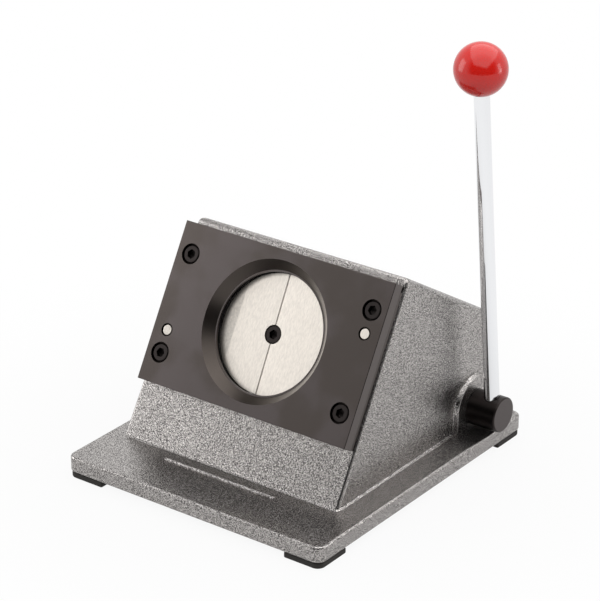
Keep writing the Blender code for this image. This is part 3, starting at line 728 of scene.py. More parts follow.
@made_once
def ground_steel(colours):
    """Hardened steel, surface ground: bright and slightly warm, with fine straight lines up the face."""
    finish, tree, shader = start_finish("surface_ground_steel", colours.ground, roughness=0.42, metallic=1.0)
    place = node(tree, "TexCoord").outputs["Object"]
    slope = out_of_face.angle(upright)
    flat = node(tree, "Mapping", {"vector_type": "TEXTURE", "Rotation": (slope, 0, 0)}, {"Vector": place})
    drawn = node(tree, "VectorMath", {"operation": "MULTIPLY", 1: (1, 0.3, 1)}, {0: flat.outputs["Vector"]})
    lines = node(
        tree, "TexNoise", {"Scale": repeats(0.9), "Detail": 4.0}, {"Vector": drawn.outputs["Vector"]}
    )
    tone = node(
        tree, "MapRange", {"From Min": 0.3, "From Max": 0.7, "To Min": 0.88, "To Max": 1.06},
        {"Value": lines.outputs["Fac"]},
    )
    # Left of that line, half of the brightness follows a coarse noise: a painted dark reflection in patches
    sides = node(tree, "SeparateXYZ", {}, {"Vector": place})
    rest = node(
        tree, "MapRange",
        {"From Min": reflection_edge_x - reflection_edge_fade, "From Max": reflection_edge_x + reflection_edge_fade, "To Min": 0.5},
        {"Value": sides.outputs["X"]},
    )
    skin = node(tree, "TexNoise", {"Scale": repeats(1.6), "Detail": 3.0}, {"Vector": place})
    patchy_reflection = node(
        tree, "Mix", {number_second: 1.0},
        {"Factor": rest.outputs["Result"], number_first: skin.outputs["Fac"]},
    )
    both = node(tree, "Math", {"operation": "MULTIPLY"}, {0: tone.outputs["Result"], 1: patchy_reflection.outputs[0]})
    tint = node(
        tree, "VectorMath", {"operation": "SCALE", 0: tuple(colours.ground)}, {"Scale": both.outputs[0]}
    )
    tree.links.new(tint.outputs["Vector"], shader.inputs["Base Color"])
    show_pattern(tree, lines.outputs["Fac"], relief=(0.3, 0.00002))
    return finish


@made_once
def turned_steel(colours):
    """Mild steel, turned and oiled: grey, with the tool's fine marks."""
    start = start_finish("turned_steel_oiled", colours.turned, roughness=0.3, metallic=1.0)
    return grained(start, millimetres=0.8, detail=2.0, shine=(0.22, 0.38), relief=(0.3, 0.00002))


@made_once
def sintered_bronze(colours):
    """Oil-filled sintered bronze: dull brownish gold with fine pores."""
    finish, tree, _ = start_finish("sintered_bronze_bush", colours.bronze, roughness=0.42, metallic=1.0)
    place = node(tree, "TexCoord").outputs["Object"]
    pores = node(tree, "TexVoronoi", {"Scale": repeats(0.5)}, {"Vector": place})
    show_pattern(tree, pores.outputs["Distance"], relief=(0.3, 0.00003))
    return finish


@made_once
def spring_wire(colours):
    """Cold-drawn spring wire: grey steel with a fine, uneven shine."""
    start = start_finish("drawn_spring_wire", colours.wire, roughness=0.3, metallic=1.0)
    return grained(start, millimetres=0.6, detail=2.0, shine=(0.22, 0.4))


@made_once
def chrome_plate(colours):
    """Bright chromium over polished steel: a mirror with hardly any haze."""
    start = start_finish("bright_chrome_plate", colours.chrome, roughness=0.06, metallic=1.0)
    return grained(start, millimetres=14, detail=2.0, shine=(0.04, 0.1))


@made_once
def phenolic_ball(colours):
    """Moulded phenolic resin, tumbled to a high gloss: deep red with clear highlights."""
    start = start_finish("polished_red_phenolic", colours.red, roughness=0.15, metallic=0.0, IOR=1.55)
    return grained(start, millimetres=9, detail=1.0, relief=(0.15, 0.00002))


@made_once
def moulded_rubber(colours):
    """Moulded nitrile rubber: black and matt, with a fine grain."""
    start = start_finish("moulded_black_rubber", colours.rubber, roughness=0.7, metallic=0.0)
    return grained(start, millimetres=0.7, detail=3.0, relief=(0.5, 0.00006))


# Pieces

def housing_planes(sizes):
    """The middle of the sloping face, a point on the ridge, and the direction square to the top."""
    middle = face_axes(sizes).translation
    ridge = middle + (sizes.plate_height / 2 + sizes.plate_top_margin) * up_face
    return middle, ridge, Vector((0, sin(sizes.roof_pitch), cos(sizes.roof_pitch)))


def housing_sides(sizes):
    """Where the housing's left and right walls stand on the slab."""
    return stand_low.x + sizes.left_margin, stand_high.x - sizes.right_margin


def make_slab(sizes):
    """Flat slab with round corners and edges."""
    top = stand_low.z + sizes.slab_thickness
    slab = block("cast_stand", stand_low, (stand_high.x, stand_high.y, top))
    round_edges(slab, lambda edge: climb(edge) > sizes.slab_thickness / 2, sizes.slab_corner, 8)
    return round_edges(slab, lambda edge: climb(edge) < weld, sizes.slab_edge, 5)


def make_housing(sizes):
    """Housing with its sloping face and top, and round outer edges."""
    left, right = housing_sides(sizes)
    low = Vector((left, stand_low.y, stand_low.z + sizes.slab_thickness / 2))
    high = Vector((right, stand_high.y - sizes.rear_margin, stand_high.z + overrun))
    housing = block("housing", low, high)
    edit(housing)
    pick(housing, "FACE", lambda face: points_along(face, -across))
    bpy.ops.transform.rotate(
        value=-sizes.left_draft, orient_axis="Y", center_override=(low.x, 0, (low.z + stand_high.z) / 2)
    )
    pick(housing, "FACE", lambda face: points_along(face, across))
    bpy.ops.transform.rotate(value=sizes.right_draft, orient_axis="Y", center_override=(high.x, 0, low.z))
    leave()
    face_middle, ridge, roof = housing_planes(sizes)
    slice_off(housing, face_middle, out_of_face)
    slice_off(housing, ridge, roof)
    weigh_edges(housing, lambda edge: max(vertex.co.z for vertex in edge.verts) > low.z + weld, 1)

    def beside_face(edge):
        """The two edges that run down beside the sloping face, which the face's milling made crisp."""
        on_face = all(abs((vertex.co - face_middle).dot(out_of_face)) < weld for vertex in edge.verts)
        return on_face and climb(edge) > sizes.plate_height / 2

    weigh_edges(housing, beside_face, sizes.face_edge / sizes.housing_edge - 1)
    return apply_step(housing, "BEVEL", width=sizes.housing_edge, segments=6, limit_method="WEIGHT")


def make_pad(sizes, wall_x, outward):
    """Arch-shaped pad round the shaft, with a sloping flank that runs out into the wall."""
    rise = sizes.pad_height - 2 * pad_curve * sum(sin(tilt) for tilt in pad_tilts)
    curve = [(tilt, pad_curve) for tilt in pad_tilts]
    profile = [(sizes.pad_radius, -overrun), (sizes.pad_radius, 0)]
    for tilt, stretch in (*curve, (pad_flank, rise / sin(pad_flank)), *reversed(curve)):
        radius, height = profile[-1]
        profile.append((radius - stretch * cos(tilt), height + stretch * sin(tilt)))
    pad = turned("pad", profile, fine_steps)
    settle(pad, Matrix.Rotation(pi / fine_steps, 4, "Z"))
    wall = Vector((wall_x, shaft_middle.y, shaft_middle.z))
    settle(pad, placed(wall, upright.cross(across) * outward, upright, across * outward))
    slice_off(pad, shaft_middle, -upright)
    edit(pad)
    pick(pad, "FACE", lambda face: points_along(face, -upright))
    drop = shaft_middle.z - stand_low.z - sizes.slab_thickness / 2
    bpy.ops.mesh.extrude_region_move(TRANSFORM_OT_translate={"value": (0, 0, -drop)})
    leave()
    return tidy(pad)


def make_bead(sizes):
    """Half-round bead on the slab."""
    half = sizes.bead_length / 2
    left, right = housing_sides(sizes)
    bead = bar("bead", sizes.bead_width / 2, -half, half, small_steps)
    round_edges(bead, lambda edge: climb(edge) < weld, sizes.bead_width / 3, 4)
    flat = Matrix.Diagonal((1, 1, sizes.bead_height / (sizes.bead_width / 2), 1))
    place = ((left + right) / 2, stand_low.y + sizes.bead_from_front, stand_low.z + sizes.slab_thickness)
    return settle(bead, Matrix.Translation(place) @ flat @ Matrix.Rotation(pi / 2, 4, "Y"))


def hollow_out(stand, sizes):
    """Take out the inside and leave the wall and the bosses that carry the ram and the shaft."""
    left, right = housing_sides(sizes)
    inner_left = left + side_wall
    inner_right = right - side_wall
    face_middle, ridge, roof = housing_planes(sizes)
    rear = stand_high.y - sizes.rear_margin - rear_wall
    cavity = block(
        "cavity", (inner_left, stand_low.y, stand_low.z - overrun), (inner_right, rear, stand_high.z)
    )
    slice_off(cavity, face_middle - front_wall * out_of_face, out_of_face)
    slice_off(cavity, ridge - top_wall * roof, roof)
    combine(stand, cavity)

    top = sizes.plate_height / 2 + sizes.plate_top_margin - top_wall / 2
    back = -bridge_from_face - bridge_thickness
    half_width = (inner_right - inner_left + side_wall) / 2
    bridge = block("bridge", (-half_width, -bridge_half_height, back), (half_width, top, -bridge_from_face))
    combine(stand, settle(bridge, face_axes(sizes)), "UNION")
    for wall_x, inward in ((inner_right, -1), (inner_left, 1)):
        ends = sorted((wall_x - inward * side_wall / 2, wall_x + inward * boss_length))
        boss = bar("boss", boss_radius, ends[0] - shaft_middle.x, ends[1] - shaft_middle.x)
        combine(stand, settle(boss, shaft_axes()), "UNION")
    return stand


def drill_stand(stand, sizes):
    """Bores for the punch, the ram's bush and the shaft, and the holes under the die plate."""
    axes = face_axes(sizes)
    combine(stand, settle(bar("bore", sizes.die_radius, -front_wall - overrun, overrun, fine_steps), axes))
    back = -bridge_from_face - bridge_thickness - overrun
    bush_radius = girth("ram_bush", axes) + fit
    combine(stand, settle(bar("bore", bush_radius, back, overrun - bridge_from_face), axes))
    shaft = shaft_axes()
    half = (stand_high.x - stand_low.x) / 2
    combine(stand, settle(bar("bore", girth("shaft_bush_right", shaft) + fit, -half, half), shaft))
    dowel_end = reach("dowel_pin_left", axes)[0]
    drills = [(*spot, sizes.thread_radius, screw_end(sizes)) for spot in screw_spots(sizes)]
    drills += [(*spot, sizes.dowel_radius, dowel_end) for spot in dowel_spots(sizes)]
    for _, x, y, radius, low in drills:
        hole = bar("hole", radius + fit, low - overrun, overrun, small_steps)
        combine(stand, settle(hole, axes @ Matrix.Translation((x, y, 0))))
    return stand


class CUTTER_OT_stand(Operator):
    """Model the slab and the hollow housing as one casting"""

    bl_idname = "cutter.stand"
    bl_label = "Cast Stand"

    def execute(self, context):
        sizes = context.scene.cutter_sizes
        stand = combine(make_slab(sizes), make_housing(sizes), "UNION")
        left, right = housing_sides(sizes)
        top = stand_low.z + sizes.slab_thickness

        def at_foot(edge):
            """The hollow edges where the housing's walls stand on the slab."""
            on_slab = all(abs(vertex.co.z - top) < weld for vertex in edge.verts)
            under_wall = all(vertex.co.x < right + weld for vertex in edge.verts)
            return on_slab and under_wall and not edge.is_convex and edge.calc_face_angle(0) > least_fold

        round_edges(stand, at_foot, sizes.housing_fillet, 6)
        combine(stand, make_bead(sizes), "UNION")
        for wall_x, outward in ((right, 1), (left, -1)):
            combine(stand, make_pad(sizes, wall_x, outward), "UNION")
        hollow_out(stand, sizes)
        drill_stand(stand, sizes)
        shade(tidy(stand))
        finish = hammertone_enamel(context.scene.cutter_colours)
        dress(stand, finish, "root", "frame_casting")
        return {"FINISHED"}


def screw_spots(sizes):
    """Names and places of the die plate's screws, across and up the face."""
    column, row = sizes.screw_column, sizes.screw_row
    return [
        ("upper_left", -column, row), ("upper_right", column, row),
        ("lower_left", -column, -row), ("lower_right", column, -row),
    ]


def dowel_spots(sizes):
    """The dowels stand at unlike heights, so the plate fits one way round only."""
    return [("left", -sizes.screw_column, -sizes.dowel_row), ("right", sizes.screw_column, sizes.dowel_row)]


def screw_end(sizes):
    """How deep the die plate's screws reach below the face."""
    return sizes.paper_slot + sizes.plate_thickness - sizes.recess_depth - screw_hole_depth


def cut_die(plate, sizes, back, front):
    """Turn the die's bore and its conical mouth out of the plate."""
    land = back + sizes.die_land
    cone = sizes.die_radius + sizes.die_shoulder
    slope = (sizes.mouth_radius - cone) / (front - land)
    bore = [
        (sizes.die_radius, back - overrun), (sizes.die_radius, land), (cone, land),
        (sizes.mouth_radius + slope * overrun, front + overrun),
    ]
    return combine(plate, turned("bore", bore, fine_steps))


def cut_recessed_hole(plate, spot, back, front, radius, mouth, depth, steps):
    """Drill a hole through the plate with a wider mouth of some depth."""
    _, x, y = spot
    seat = front - depth
    drill = turned("drill", [
        (radius + fit, back - overrun), (radius + fit, seat), (mouth, seat), (mouth, front + overrun),
    ], steps)
    return combine(plate, settle(drill, Matrix.Translation((x, y, 0))))


class CUTTER_OT_die_plate(Operator):
    """Model the die plate with its conical mouth, and the strips behind it"""

    bl_idname = "cutter.die_plate"
    bl_label = "Die Plate"

    def execute(self, context):
        sizes = context.scene.cutter_sizes
        colours = context.scene.cutter_colours
        right, top = sizes.plate_width / 2, sizes.plate_height / 2
        back = sizes.paper_slot
        front = back + sizes.plate_thickness
        plate = block("blackened_die_plate", (-right, -top, back), (right, top, front))
        round_edges(
            plate, lambda edge: max(v.co.z for v in edge.verts) > front - weld, sizes.plate_chamfer, 1
        )
        cut_die(plate, sizes, back, front)
        for_screw = (sizes.thread_radius, sizes.screw_recess, sizes.recess_depth, round_steps)
        for_dowel = (sizes.dowel_radius, sizes.dowel_mouth, sizes.dowel_gap, small_steps)
        for spots, hole in ((screw_spots(sizes), for_screw), (dowel_spots(sizes), for_dowel)):
            for spot in spots:
                cut_recessed_hole(plate, spot, back, front, *hole)
        settle(plate, face_axes(sizes))
        shade(soften(tidy(plate), plate_break))
        dress(plate, blackened_steel(colours), "root", "die_plate")

        def on_side(face):
            """The plate's four flat sides."""
            square = any(points_along(face, way) for way in (across, -across, up_face, -up_face))
            return square and face.calc_area() > least_side

        def in_mouth(face):
            """The die's cone, which leans towards its axis."""
            from_axis = (face.calc_center_median() - plate_middle).cross(out_of_face).length
            outwards = face.normal.dot(out_of_face)
            return cone_facing[0] < outwards < cone_facing[1] and from_axis < sizes.mouth_radius

        # The plate's sides take the lighter colour, a painted reflection
        add_finish(plate, milled_edge_painted_sheen(colours), on_side)
        # The cone takes a darker copy of the steel, painted shade
        add_finish(plate, cone_painted_shade(colours), in_mouth)
        # The strips take the same lighter colour, the same painted reflection
        for side in ("left", "right"):
            strip = refined(side + "_spacer_strip", "slot_shim_" + side, plate_break)
            dress(strip, milled_edge_painted_sheen(colours), "root", side + "_spacer_strip")
        return {"FINISHED"}


def cap_screw(name, sizes, shank, top):
    """A low cap screw with a hexagon socket. Its head's underside is at zero, and its upper side at top."""
    bevel = sizes.head_radius / 11
    tip = sizes.thread_radius / 6
    screw = turned(name, [
        (sizes.thread_radius - tip, -shank), (sizes.thread_radius, tip - shank), (sizes.thread_radius, 0),
        (sizes.head_radius, 0), (sizes.head_radius, top - bevel), (sizes.head_radius - bevel, top),
    ])
    corner = sizes.socket_flats / 2 / cos(pi / 6)
    floor = top - socket_depth
    profile = [(corner / 8, floor - corner / 4), (corner, floor), (corner, top + overrun)]
    combine(screw, turned("socket", profile, 6))
    return soften(screw, screw_break)


class CUTTER_OT_screws(Operator):
    """Model a cap screw and copy it to the die plate's corners, and a taller one for the punch"""

    bl_idname = "cutter.screws"
    bl_label = "Cap Screws"

    def execute(self, context):
        sizes = context.scene.cutter_sizes
        finish = black_oxide(context.scene.cutter_colours)
        axes = face_axes(sizes)
        low, high = reach("die_screw_upper_left", axes)
        seat = high - sizes.head_height
        model = cap_screw("cap_screw", sizes, seat - low, sizes.head_height)
        for name, x, y in screw_spots(sizes):
            screw = copied(model, "cap_screw_" + name)
            turn = Matrix.Rotation(radians(socket_turns[name]), 4, "Z")
            shade(settle(screw, axes @ Matrix.Translation((x, y, seat)) @ turn))
            dress(screw, finish, "root", "die_screw_" + name)
        discard(model)

        low, high = reach("punch_screw", axes)
        seat = high - sizes.head_height
        top = reach("punch", axes)[1] - sizes.punch_groove - dowel_depth - seat
        screw = cap_screw("cap_screw_punch", sizes, seat - low, top)
        turn = Matrix.Rotation(radians(socket_turns["punch"]), 4, "Z")
        shade(settle(screw, axes @ Matrix.Translation((0, 0, seat)) @ turn))
        dress(screw, finish, "ram", "punch_screw")
        return {"FINISHED"}


class CUTTER_OT_dowels(Operator):
    """Model a bright dowel with chamfered ends and copy it to its two places"""

    bl_idname = "cutter.dowels"
    bl_label = "Dowels"

    def execute(self, context):
        sizes = context.scene.cutter_sizes
        finish = ground_steel(context.scene.cutter_colours)
        axes = face_axes(sizes)
        radius = sizes.dowel_radius
        chamfer = radius * 0.15
        rim = radius * 0.1
        low = reach("dowel_pin_left", axes)[0]
        high = sizes.paper_slot + sizes.plate_thickness - dowel_depth
        model = turned("ground_dowel", [
            (radius - chamfer, low), (radius, low + chamfer), (radius, high - rim),
            (radius - rim * 0.3, high - rim * 0.3), (radius - rim, high),
        ], small_steps)
        for side, x, y in dowel_spots(sizes):
            dowel = copied(model, "ground_dowel_" + side)
            shade(settle(dowel, axes @ Matrix.Translation((x, y, 0))))
            dress(dowel, finish, "root", "dowel_pin_" + side)
        discard(model)
        return {"FINISHED"}


def grooved_disc(sizes, radius, low, high):
    """Disc with a shallow valley across its front and a fine line at the valley's bottom."""
    valley = high - sizes.punch_groove
    disc = bar("ground_punch", radius, low, high + overrun, fine_steps)
    slice_off(disc, (0, 0, 0), -across)
    slice_off(disc, (0, 0, valley), (-sizes.punch_groove, 0, radius))
    edit(disc)
    pick(disc, "FACE", lambda face: points_along(face, -across) and max(v.co.x for v in face.verts) < weld)
    bpy.ops.mesh.delete(type="ONLY_FACE")
    leave()
    apply_step(disc, "MIRROR", use_axis=(True, False, False), merge_threshold=weld)
    tidy(disc)

    def in_valley(edge):
        """The valley's lowest line."""
        return all(abs(vertex.co.x) < weld and abs(vertex.co.z - valley) < weld for vertex in edge.verts)

    round_edges(disc, in_valley, sizes.groove_width / 2, 2)
    edit(disc)
    pick(disc, "EDGE", lambda edge: all(abs(v.co.x) < weld and v.co.z > low + weld for v in edge.verts))
    bpy.ops.transform.translate(value=(0, 0, -sizes.groove_width / 3))
    leave()
    return disc


class CUTTER_OT_punch(Operator):
    """Model the round punch with the shallow groove across its face"""

    bl_idname = "cutter.punch"
    bl_label = "Punch"

    def execute(self, context):
        sizes = context.scene.cutter_sizes
        axes = face_axes(sizes)
        low, high = reach("punch", axes)
        punch = grooved_disc(sizes, girth("punch", axes), low, high)
        seat = reach("punch_screw", axes)[1] - sizes.head_height - fit
        recess = sizes.head_radius * head_room
        hole = sizes.thread_radius + fit
        shank = girth("ram", axes) / 2
        start = low - overrun / 2
        combine(punch, turned("drill", [
            (shank, low - overrun), (shank, start), (hole, start), (hole, seat), (recess, seat),
            (recess, high + overrun),
        ]))
        neck = girth("ram_bush", axes) - ram_bush_wall
        combine(punch, bar("socket", neck, low - overrun, reach("ram", axes)[1] + fit))
        pin_low, pin_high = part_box("punch_pin")
        pin = axes.inverted() @ ((pin_low + pin_high) / 2)
        pin_hole = bar("pin_hole", pin_hole_radius, low, reach("punch_pin", axes)[1] + fit, small_steps)
        combine(punch, settle(pin_hole, Matrix.Translation((pin.x, pin.y, 0))))
        settle(punch, axes @ Matrix.Rotation(radians(punch_turn), 4, "Z"))
        shade(soften(tidy(punch), screw_break))
        dress(punch, ground_steel(context.scene.cutter_colours), "ram", "punch")
        return {"FINISHED"}


def plain_ring(packed, name, axes, inner, width):
    """A bush or washer that stands where a packed one is, with its edges broken."""
    low, high = reach(packed, axes)
    outer = girth(packed, axes)
    profile = [(inner, low), (outer, low), (outer, high), (inner, high), (inner, low)]
    return shade(soften(settle(turned(name, profile, ring=True), axes), width))


class CUTTER_OT_ram(Operator):
    """Model the ram, its bush and the pin that locates the punch"""

    bl_idname = "cutter.ram"
    bl_label = "Ram"

    def execute(self, context):
        colours = context.scene.cutter_colours
        for packed, name in (("ram", "turned_ram"), ("punch_pin", "locating_pin")):
            dress(refined(packed, name, screw_break), turned_steel(colours), "ram", packed)
        axes = face_axes(context.scene.cutter_sizes)
        inner = girth("ram_bush", axes) - ram_bush_wall
        bush = plain_ring("ram_bush", "bronze_ram_bush", axes, inner, plate_break * 2)
        dress(bush, sintered_bronze(colours), "root", "ram_bush")
        return {"FINISHED"}


class CUTTER_OT_spring(Operator):
    """Wind the return spring between the guide wall and the ram"""

    bl_idname = "cutter.spring"
    bl_label = "Return Spring"

    def execute(self, context):
        turns = context.scene.cutter_sizes.spring_turns
        axes = face_axes(context.scene.cutter_sizes)
        low, high = reach("return_spring", axes)
        wire = spring_wire_radius
        start = (girth("return_spring", axes) - wire, 0, high - wire)
        bpy.ops.object.select_all(action="DESELECT")
        bpy.ops.mesh.primitive_circle_add(
            vertices=wire_sides, radius=wire, location=start, rotation=(pi / 2, 0, 0)
        )
        spring = name_new("wound_return_spring")
        pitch = (high - low - 2 * wire) / turns
        apply_step(
            spring, "SCREW", axis="Z", angle=tau, screw_offset=-pitch, iterations=turns, steps=round_steps,
            render_steps=round_steps,
        )
        edit(spring)
        bpy.ops.mesh.fill_holes(sides=0)
        bpy.ops.mesh.normals_make_consistent(inside=False)
        leave()
        shade(settle(spring, axes))
        spring.data.materials.append(spring_wire(context.scene.cutter_colours))
        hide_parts("return_spring")
        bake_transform(spring)
        return {"FINISHED"}


def make_shaft(sizes, axes, radius):
    """Shaft with its hub, the clip's groove, the hole for the rod and the slot for the key."""
    low, high = reach("drive_shaft", axes)
    clip_low, clip_high = reach("shaft_circlip", axes)
    groove = radius - clip_groove
    hub_low = reach("shaft_bush_right", axes)[1] + fit
    hub, edge = sizes.hub_radius, sizes.hub_edge
    rim = [(hub - edge + edge * cos(turn), high - edge + edge * sin(turn)) for turn in rim_turns]
    shaft = turned("black_drive_shaft", [
        (groove, low), (radius, low + clip_groove), (radius, clip_low - fit), (groove, clip_low - fit),
        (groove, clip_high + fit), (radius, clip_high + fit), (radius, hub_low), (hub, hub_low), *rim,
    ], fine_steps)
    settle(shaft, axes)
    lever = lever_axes(sizes)
    rod_hole = girth("lever_rod", lever) + fit
    combine(shaft, settle(bar("rod_hole", rod_hole, sizes.rod_seat - fit, hub * 2), lever))
    key_low, key_high = reach("cam_key", axes)
    half = key_slot / 2
    slot = block("slot", (-radius - half, -half, key_low - fit), (half - radius, half, key_high + fit))
    combine(shaft, settle(slot, axes))
    return shade(soften(shaft, screw_break))


class CUTTER_OT_shaft(Operator):
    """Model the drive shaft with its hub, bushes, washer and clip"""

    bl_idname = "cutter.shaft"
    bl_label = "Drive Shaft"

    def execute(self, context):
        sizes = context.scene.cutter_sizes
        colours = context.scene.cutter_colours
        axes = shaft_axes()
        radius = girth("shaft_bush_right", axes) - shaft_bush_wall - fit
        shaft = make_shaft(sizes, axes, radius)
        dress(shaft, black_oxide(colours), "lever", "drive_shaft")
        rim_x = shaft_middle.x + reach("drive_shaft", axes)[1] - sizes.hub_edge

        def at_end(face):
            """The hub's flat end and the last facet of its rim."""
            return face.normal.x > end_facing and face.calc_center_median().x > rim_x

        add_finish(shaft, faced_end(colours), at_end)
        for side in ("right", "left"):
            packed = "shaft_bush_" + side
            inner = girth(packed, axes) - shaft_bush_wall
            bush = plain_ring(packed, "bronze_" + packed, axes, inner, plate_break)
            dress(bush, sintered_bronze(colours), "root", packed)
        washer = plain_ring("shaft_washer", "plain_washer", axes, radius + fit, screw_break)
        dress(washer, turned_steel(colours), "lever", "shaft_washer")
        clip = refined("shaft_circlip", "retaining_clip", screw_break)
        dress(clip, spring_wire(colours), "lever", "shaft_circlip")
        return {"FINISHED"}


class CUTTER_OT_cam(Operator):
    """Finish the cam, its key and its set screw"""

    bl_idname = "cutter.cam"
    bl_label = "Cam"

    def execute(self, context):
        colours = context.scene.cutter_colours
        for packed, name, finish, slot in (
            ("eccentric_cam", "involute_cam", turned_steel(colours), "turned_steel"),
            ("cam_key", "square_key", turned_steel(colours), "turned_steel"),
            ("cam_set_screw", "grub_screw", black_oxide(colours), "black_oxide"),
        ):
            dress(refined(packed, name, plate_break), finish, "lever", packed)
        return {"FINISHED"}


class CUTTER_OT_lever(Operator):
    """Model the chromed rod and the red ball knob"""

    bl_idname = "cutter.lever"
    bl_label = "Lever"

    def execute(self, context):
        sizes = context.scene.cutter_sizes
        colours = context.scene.cutter_colours
        axes = lever_axes(sizes)
        low, high = reach("lever_rod", axes)
        radius = girth("lever_rod", axes)
        neck = radius / 7
        rod = turned("chromed_rod", [
            (radius - neck, low), (radius, low + neck), (radius, high - neck), (radius - neck, high)
        ])
        settle(rod, axes)
        dress(shade(soften(rod, screw_break)), chrome_plate(colours), "lever", "lever_rod")

        ball_radius = girth("ball_knob", axes) - weld
        knob_bottom, knob_top = reach("ball_knob", axes)
        bpy.ops.object.select_all(action="DESELECT")
        bpy.ops.mesh.primitive_uv_sphere_add(
            segments=fine_steps, ring_count=round_steps, radius=ball_radius,
            location=(0, 0, knob_top - weld - ball_radius),
        )
        knob = name_new("red_ball_knob")
        slice_off(knob, (0, 0, knob_bottom), -upright)
        combine(knob, bar("socket", radius + fit, knob_bottom - overrun, high + fit))
        settle(knob, axes)
        shade(soften(tidy(knob), plate_break))
        dress(knob, phenolic_ball(colours), "lever", "ball_knob")
        return {"FINISHED"}


class CUTTER_OT_feet(Operator):
    """Model the four rubber pads under the slab"""

    bl_idname = "cutter.feet"
    bl_label = "Feet"

    def execute(self, context):
        sizes = context.scene.cutter_sizes
        finish = moulded_rubber(context.scene.cutter_colours)
        stand_middle = (stand_low + stand_high) / 2
        for place in ("front_left", "front_right", "rear_left", "rear_right"):
            low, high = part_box("foot_" + place)
            pad = block("rubber_pad_" + place, low, high)
            tall = (high.z - low.z) / 2
            outer = (low + high) / 2 - stand_middle

            def at_corner(edge):
                """The upright edge under the slab's corner."""
                spot = edge.verts[0].co - stand_middle
                return climb(edge) > tall and abs(spot.x) > abs(outer.x) and abs(spot.y) > abs(outer.y)

            def sharp_upright(edge):
                """The three upright edges that aren't round yet."""
                return climb(edge) > tall and edge.calc_face_angle(0) > least_fold

            round_edges(pad, at_corner, sizes.slab_corner - foot_inset, 8)
            round_edges(pad, sharp_upright, foot_corner, 4)
            round_edges(pad, lambda edge: climb(edge) < weld, foot_rim, 4)
            dress(shade(pad), finish, "root", "foot_" + place)
        return {"FINISHED"}


# Stage

def direction(azimuth, elevation):
    """A unit vector from the object towards a place in the studio."""
    return Vector((sin(azimuth) * cos(elevation), -cos(azimuth) * cos(elevation), sin(elevation)))


def add_softbox(name, power, azimuth, elevation, distance, size):
    """A rectangular softbox, placed by angles in degrees, that points at the object's middle."""
    lamp = bpy.data.lights.new(name, "AREA")
    lamp.shape = "RECTANGLE"
    lamp.size, lamp.size_y = size
    lamp.energy = power
    softbox = bpy.data.objects.new(name, lamp)
    bpy.context.scene.collection.objects.link(softbox)
    towards = direction(radians(azimuth), radians(elevation))
    softbox.location = (cad_low + cad_high) / 2 + distance * towards
    softbox.rotation_euler = towards.to_track_quat("Z", "Y").to_euler()
    softbox.visible_camera = False
    return softbox


def studio_world(front):
    """White studio, seen by the camera and in gloss, with a dark side in front of the object."""
    world = bpy.data.worlds.new("white_studio")
    bpy.context.scene.world = world
    world.use_nodes = True
    tree = world.node_tree
    background = tree.nodes["Background"]
    background.inputs["Color"].default_value = (1, 1, 1, 1)
    way = node(tree, "TexCoord").outputs["Generated"]
    facing = node(tree, "VectorMath", {"operation": "DOT_PRODUCT", 1: tuple(front)}, {0: way})
    walls = node(
        tree, "MapRange",
        {"interpolation_type": "SMOOTHSTEP", "From Min": cos(dark_side_ends),
         "From Max": cos(dark_side_full), "To Min": 1.0, "To Max": 0.04},
        {"Value": facing.outputs["Value"]},
    )
    heights = node(tree, "SeparateXYZ", {}, {"Vector": way})
    ceiling = node(
        tree, "MapRange",
        {"interpolation_type": "SMOOTHSTEP", "From Min": sin(ceiling_starts), "From Max": sin(ceiling_full),
         "To Min": 1.0, "To Max": 0.8},
        {"Value": heights.outputs["Z"]},
    )
    glow = node(
        tree, "Math", {"operation": "MULTIPLY"}, {0: walls.outputs["Result"], 1: ceiling.outputs["Result"]}
    )
    rays = node(tree, "LightPath").outputs
    shiny = node(
        tree, "Math", {"operation": "MAXIMUM"}, {0: rays["Is Glossy Ray"], 1: rays["Is Transmission Ray"]}
    )
    soft = node(
        tree, "Mix", {number_first: studio_fill},
        {"Factor": shiny.outputs[0], number_second: glow.outputs[0]},
    )
    seen = node(
        tree, "Mix", {number_second: 1.0}, {"Factor": rays["Is Camera Ray"], number_first: soft.outputs[0]}
    )
    tree.links.new(seen.outputs[0], background.inputs["Strength"])
    return world


def studio_floor():
    """Pale floor that fades into the white walls away from the object."""
    bpy.ops.object.select_all(action="DESELECT")
    bpy.ops.mesh.primitive_circle_add(
        vertices=floor_sides, radius=floor_radius, fill_type="NGON", location=(0, 0, cad_low.z)
    )
    floor = name_new("studio_floor")
    finish, tree, shader = start_finish(
        "matt_white_paper", (0.6, 0.6, 0.6), roughness=0.9, metallic=0.0, **{"Specular IOR Level": 0.0}
    )
    place = node(tree, "TexCoord").outputs["Object"]
    far = node(tree, "VectorMath", {"operation": "LENGTH"}, {0: place})
    rays = node(tree, "LightPath").outputs
    shares = []
    for ray, near_glow, far_glow in (("Is Camera Ray", 0.92, 1.0), ("Is Glossy Ray", 0.5, 0.8)):
        sweep = node(
            tree, "MapRange",
            {"interpolation_type": "SMOOTHSTEP", "From Min": sweep_starts, "From Max": sweep_ends,
             "To Min": near_glow, "To Max": far_glow},
            {"Value": far.outputs["Value"]},
        )
        part = node(tree, "Math", {"operation": "MULTIPLY"}, {0: rays[ray], 1: sweep.outputs["Result"]})
        shares.append(part.outputs[0])
    share = node(tree, "Math", {"operation": "MAXIMUM"}, dict(enumerate(shares)))
    glow = node(tree, "Emission", {"Color": (1, 1, 1, 1), "Strength": 1.0})
    paper = node(
        tree, "MixShader", {},
        {"Fac": share.outputs[0], 1: shader.outputs["BSDF"], 2: glow.outputs["Emission"]},
    )
    tree.links.new(paper.outputs[0], tree.nodes["Material Output"].inputs["Surface"])
    floor.data.materials.append(finish)
    return floor


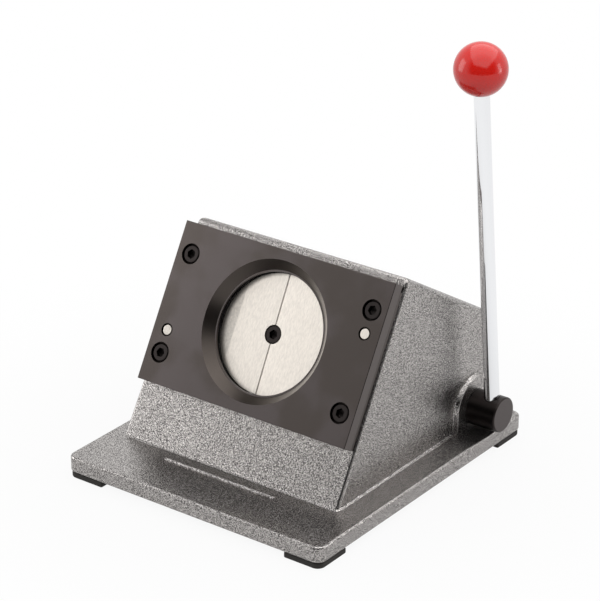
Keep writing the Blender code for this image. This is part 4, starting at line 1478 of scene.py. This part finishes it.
class CUTTER_OT_stage(Operator):
    """Set up the floor, the softboxes and the camera"""

    bl_idname = "cutter.stage"
    bl_label = "Stage"

    def execute(self, context):
        studio = context.scene.cutter_studio
        studio_floor()
        studio_world(direction(studio.azimuth + dark_side_turn, dark_side_height))
        for name, power, azimuth, elevation, distance, size in (
            ("top_softbox", studio.top_light, 117, 77, 0.55, (1.3, 0.75)),
            ("left_softbox", studio.left_light, -60, 15, 1.5, (0.75, 1.05)),
            ("right_softbox", studio.right_light, 119, 10, 1.4, (0.35, 0.7)),
            ("modelling_lamp", studio.right_light / 6, 123, 4, 1.3, (0.13, 0.16)),
        ):
            add_softbox(name, power, azimuth, elevation, distance, size)

        lens = bpy.data.cameras.new("photo_camera")
        lens.sensor_fit = "HORIZONTAL"
        lens.sensor_width = sensor_width
        lens.lens = studio.focal
        camera = bpy.data.objects.new("photo_camera", lens)
        context.scene.collection.objects.link(camera)
        towards = direction(studio.azimuth, studio.elevation)
        camera.location = aim + studio.distance * towards
        camera.rotation_euler = towards.to_track_quat("Z", "Y").to_euler()
        context.scene.camera = camera
        context.scene.view_settings.view_transform = "Standard"
        return {"FINISHED"}


piece_operators = (
    CUTTER_OT_stand, CUTTER_OT_die_plate, CUTTER_OT_screws, CUTTER_OT_dowels,
    CUTTER_OT_punch, CUTTER_OT_ram, CUTTER_OT_spring, CUTTER_OT_shaft,
    CUTTER_OT_cam, CUTTER_OT_lever, CUTTER_OT_feet, CUTTER_OT_stage,
)


class CUTTER_PT_panel(Panel):
    """Lists the pieces, their sizes and their colours"""

    bl_label = "Circle Cutter"
    bl_idname = "CUTTER_PT_panel"
    bl_space_type = "VIEW_3D"
    bl_region_type = "UI"
    bl_category = "Cutter"

    def draw(self, context):
        for piece in piece_operators:
            self.layout.operator(piece.bl_idname)
        scene = context.scene
        for group in (scene.cutter_sizes, scene.cutter_colours, scene.cutter_studio):
            box = self.layout.box()
            for name in group.__annotations__:
                box.prop(group, name)


classes = (CutterSizes, CutterColours, CutterStudio, *piece_operators, CUTTER_PT_panel)


def register():
    for item in classes:
        bpy.utils.register_class(item)
    bpy.types.Scene.cutter_sizes = PointerProperty(type=CutterSizes)
    bpy.types.Scene.cutter_colours = PointerProperty(type=CutterColours)
    bpy.types.Scene.cutter_studio = PointerProperty(type=CutterStudio)


def unregister():
    del bpy.types.Scene.cutter_studio
    del bpy.types.Scene.cutter_colours
    del bpy.types.Scene.cutter_sizes
    for item in reversed(classes):
        bpy.utils.unregister_class(item)


def main():
    """Make every piece and the stage."""
    register()
    bpy.ops.cutter.stand()
    bpy.ops.cutter.die_plate()
    bpy.ops.cutter.screws()
    bpy.ops.cutter.dowels()
    bpy.ops.cutter.punch()
    bpy.ops.cutter.ram()
    bpy.ops.cutter.spring()
    bpy.ops.cutter.shaft()
    bpy.ops.cutter.cam()
    bpy.ops.cutter.lever()
    bpy.ops.cutter.feet()
    bpy.ops.cutter.stage()


if __name__ == "__main__":
    main()
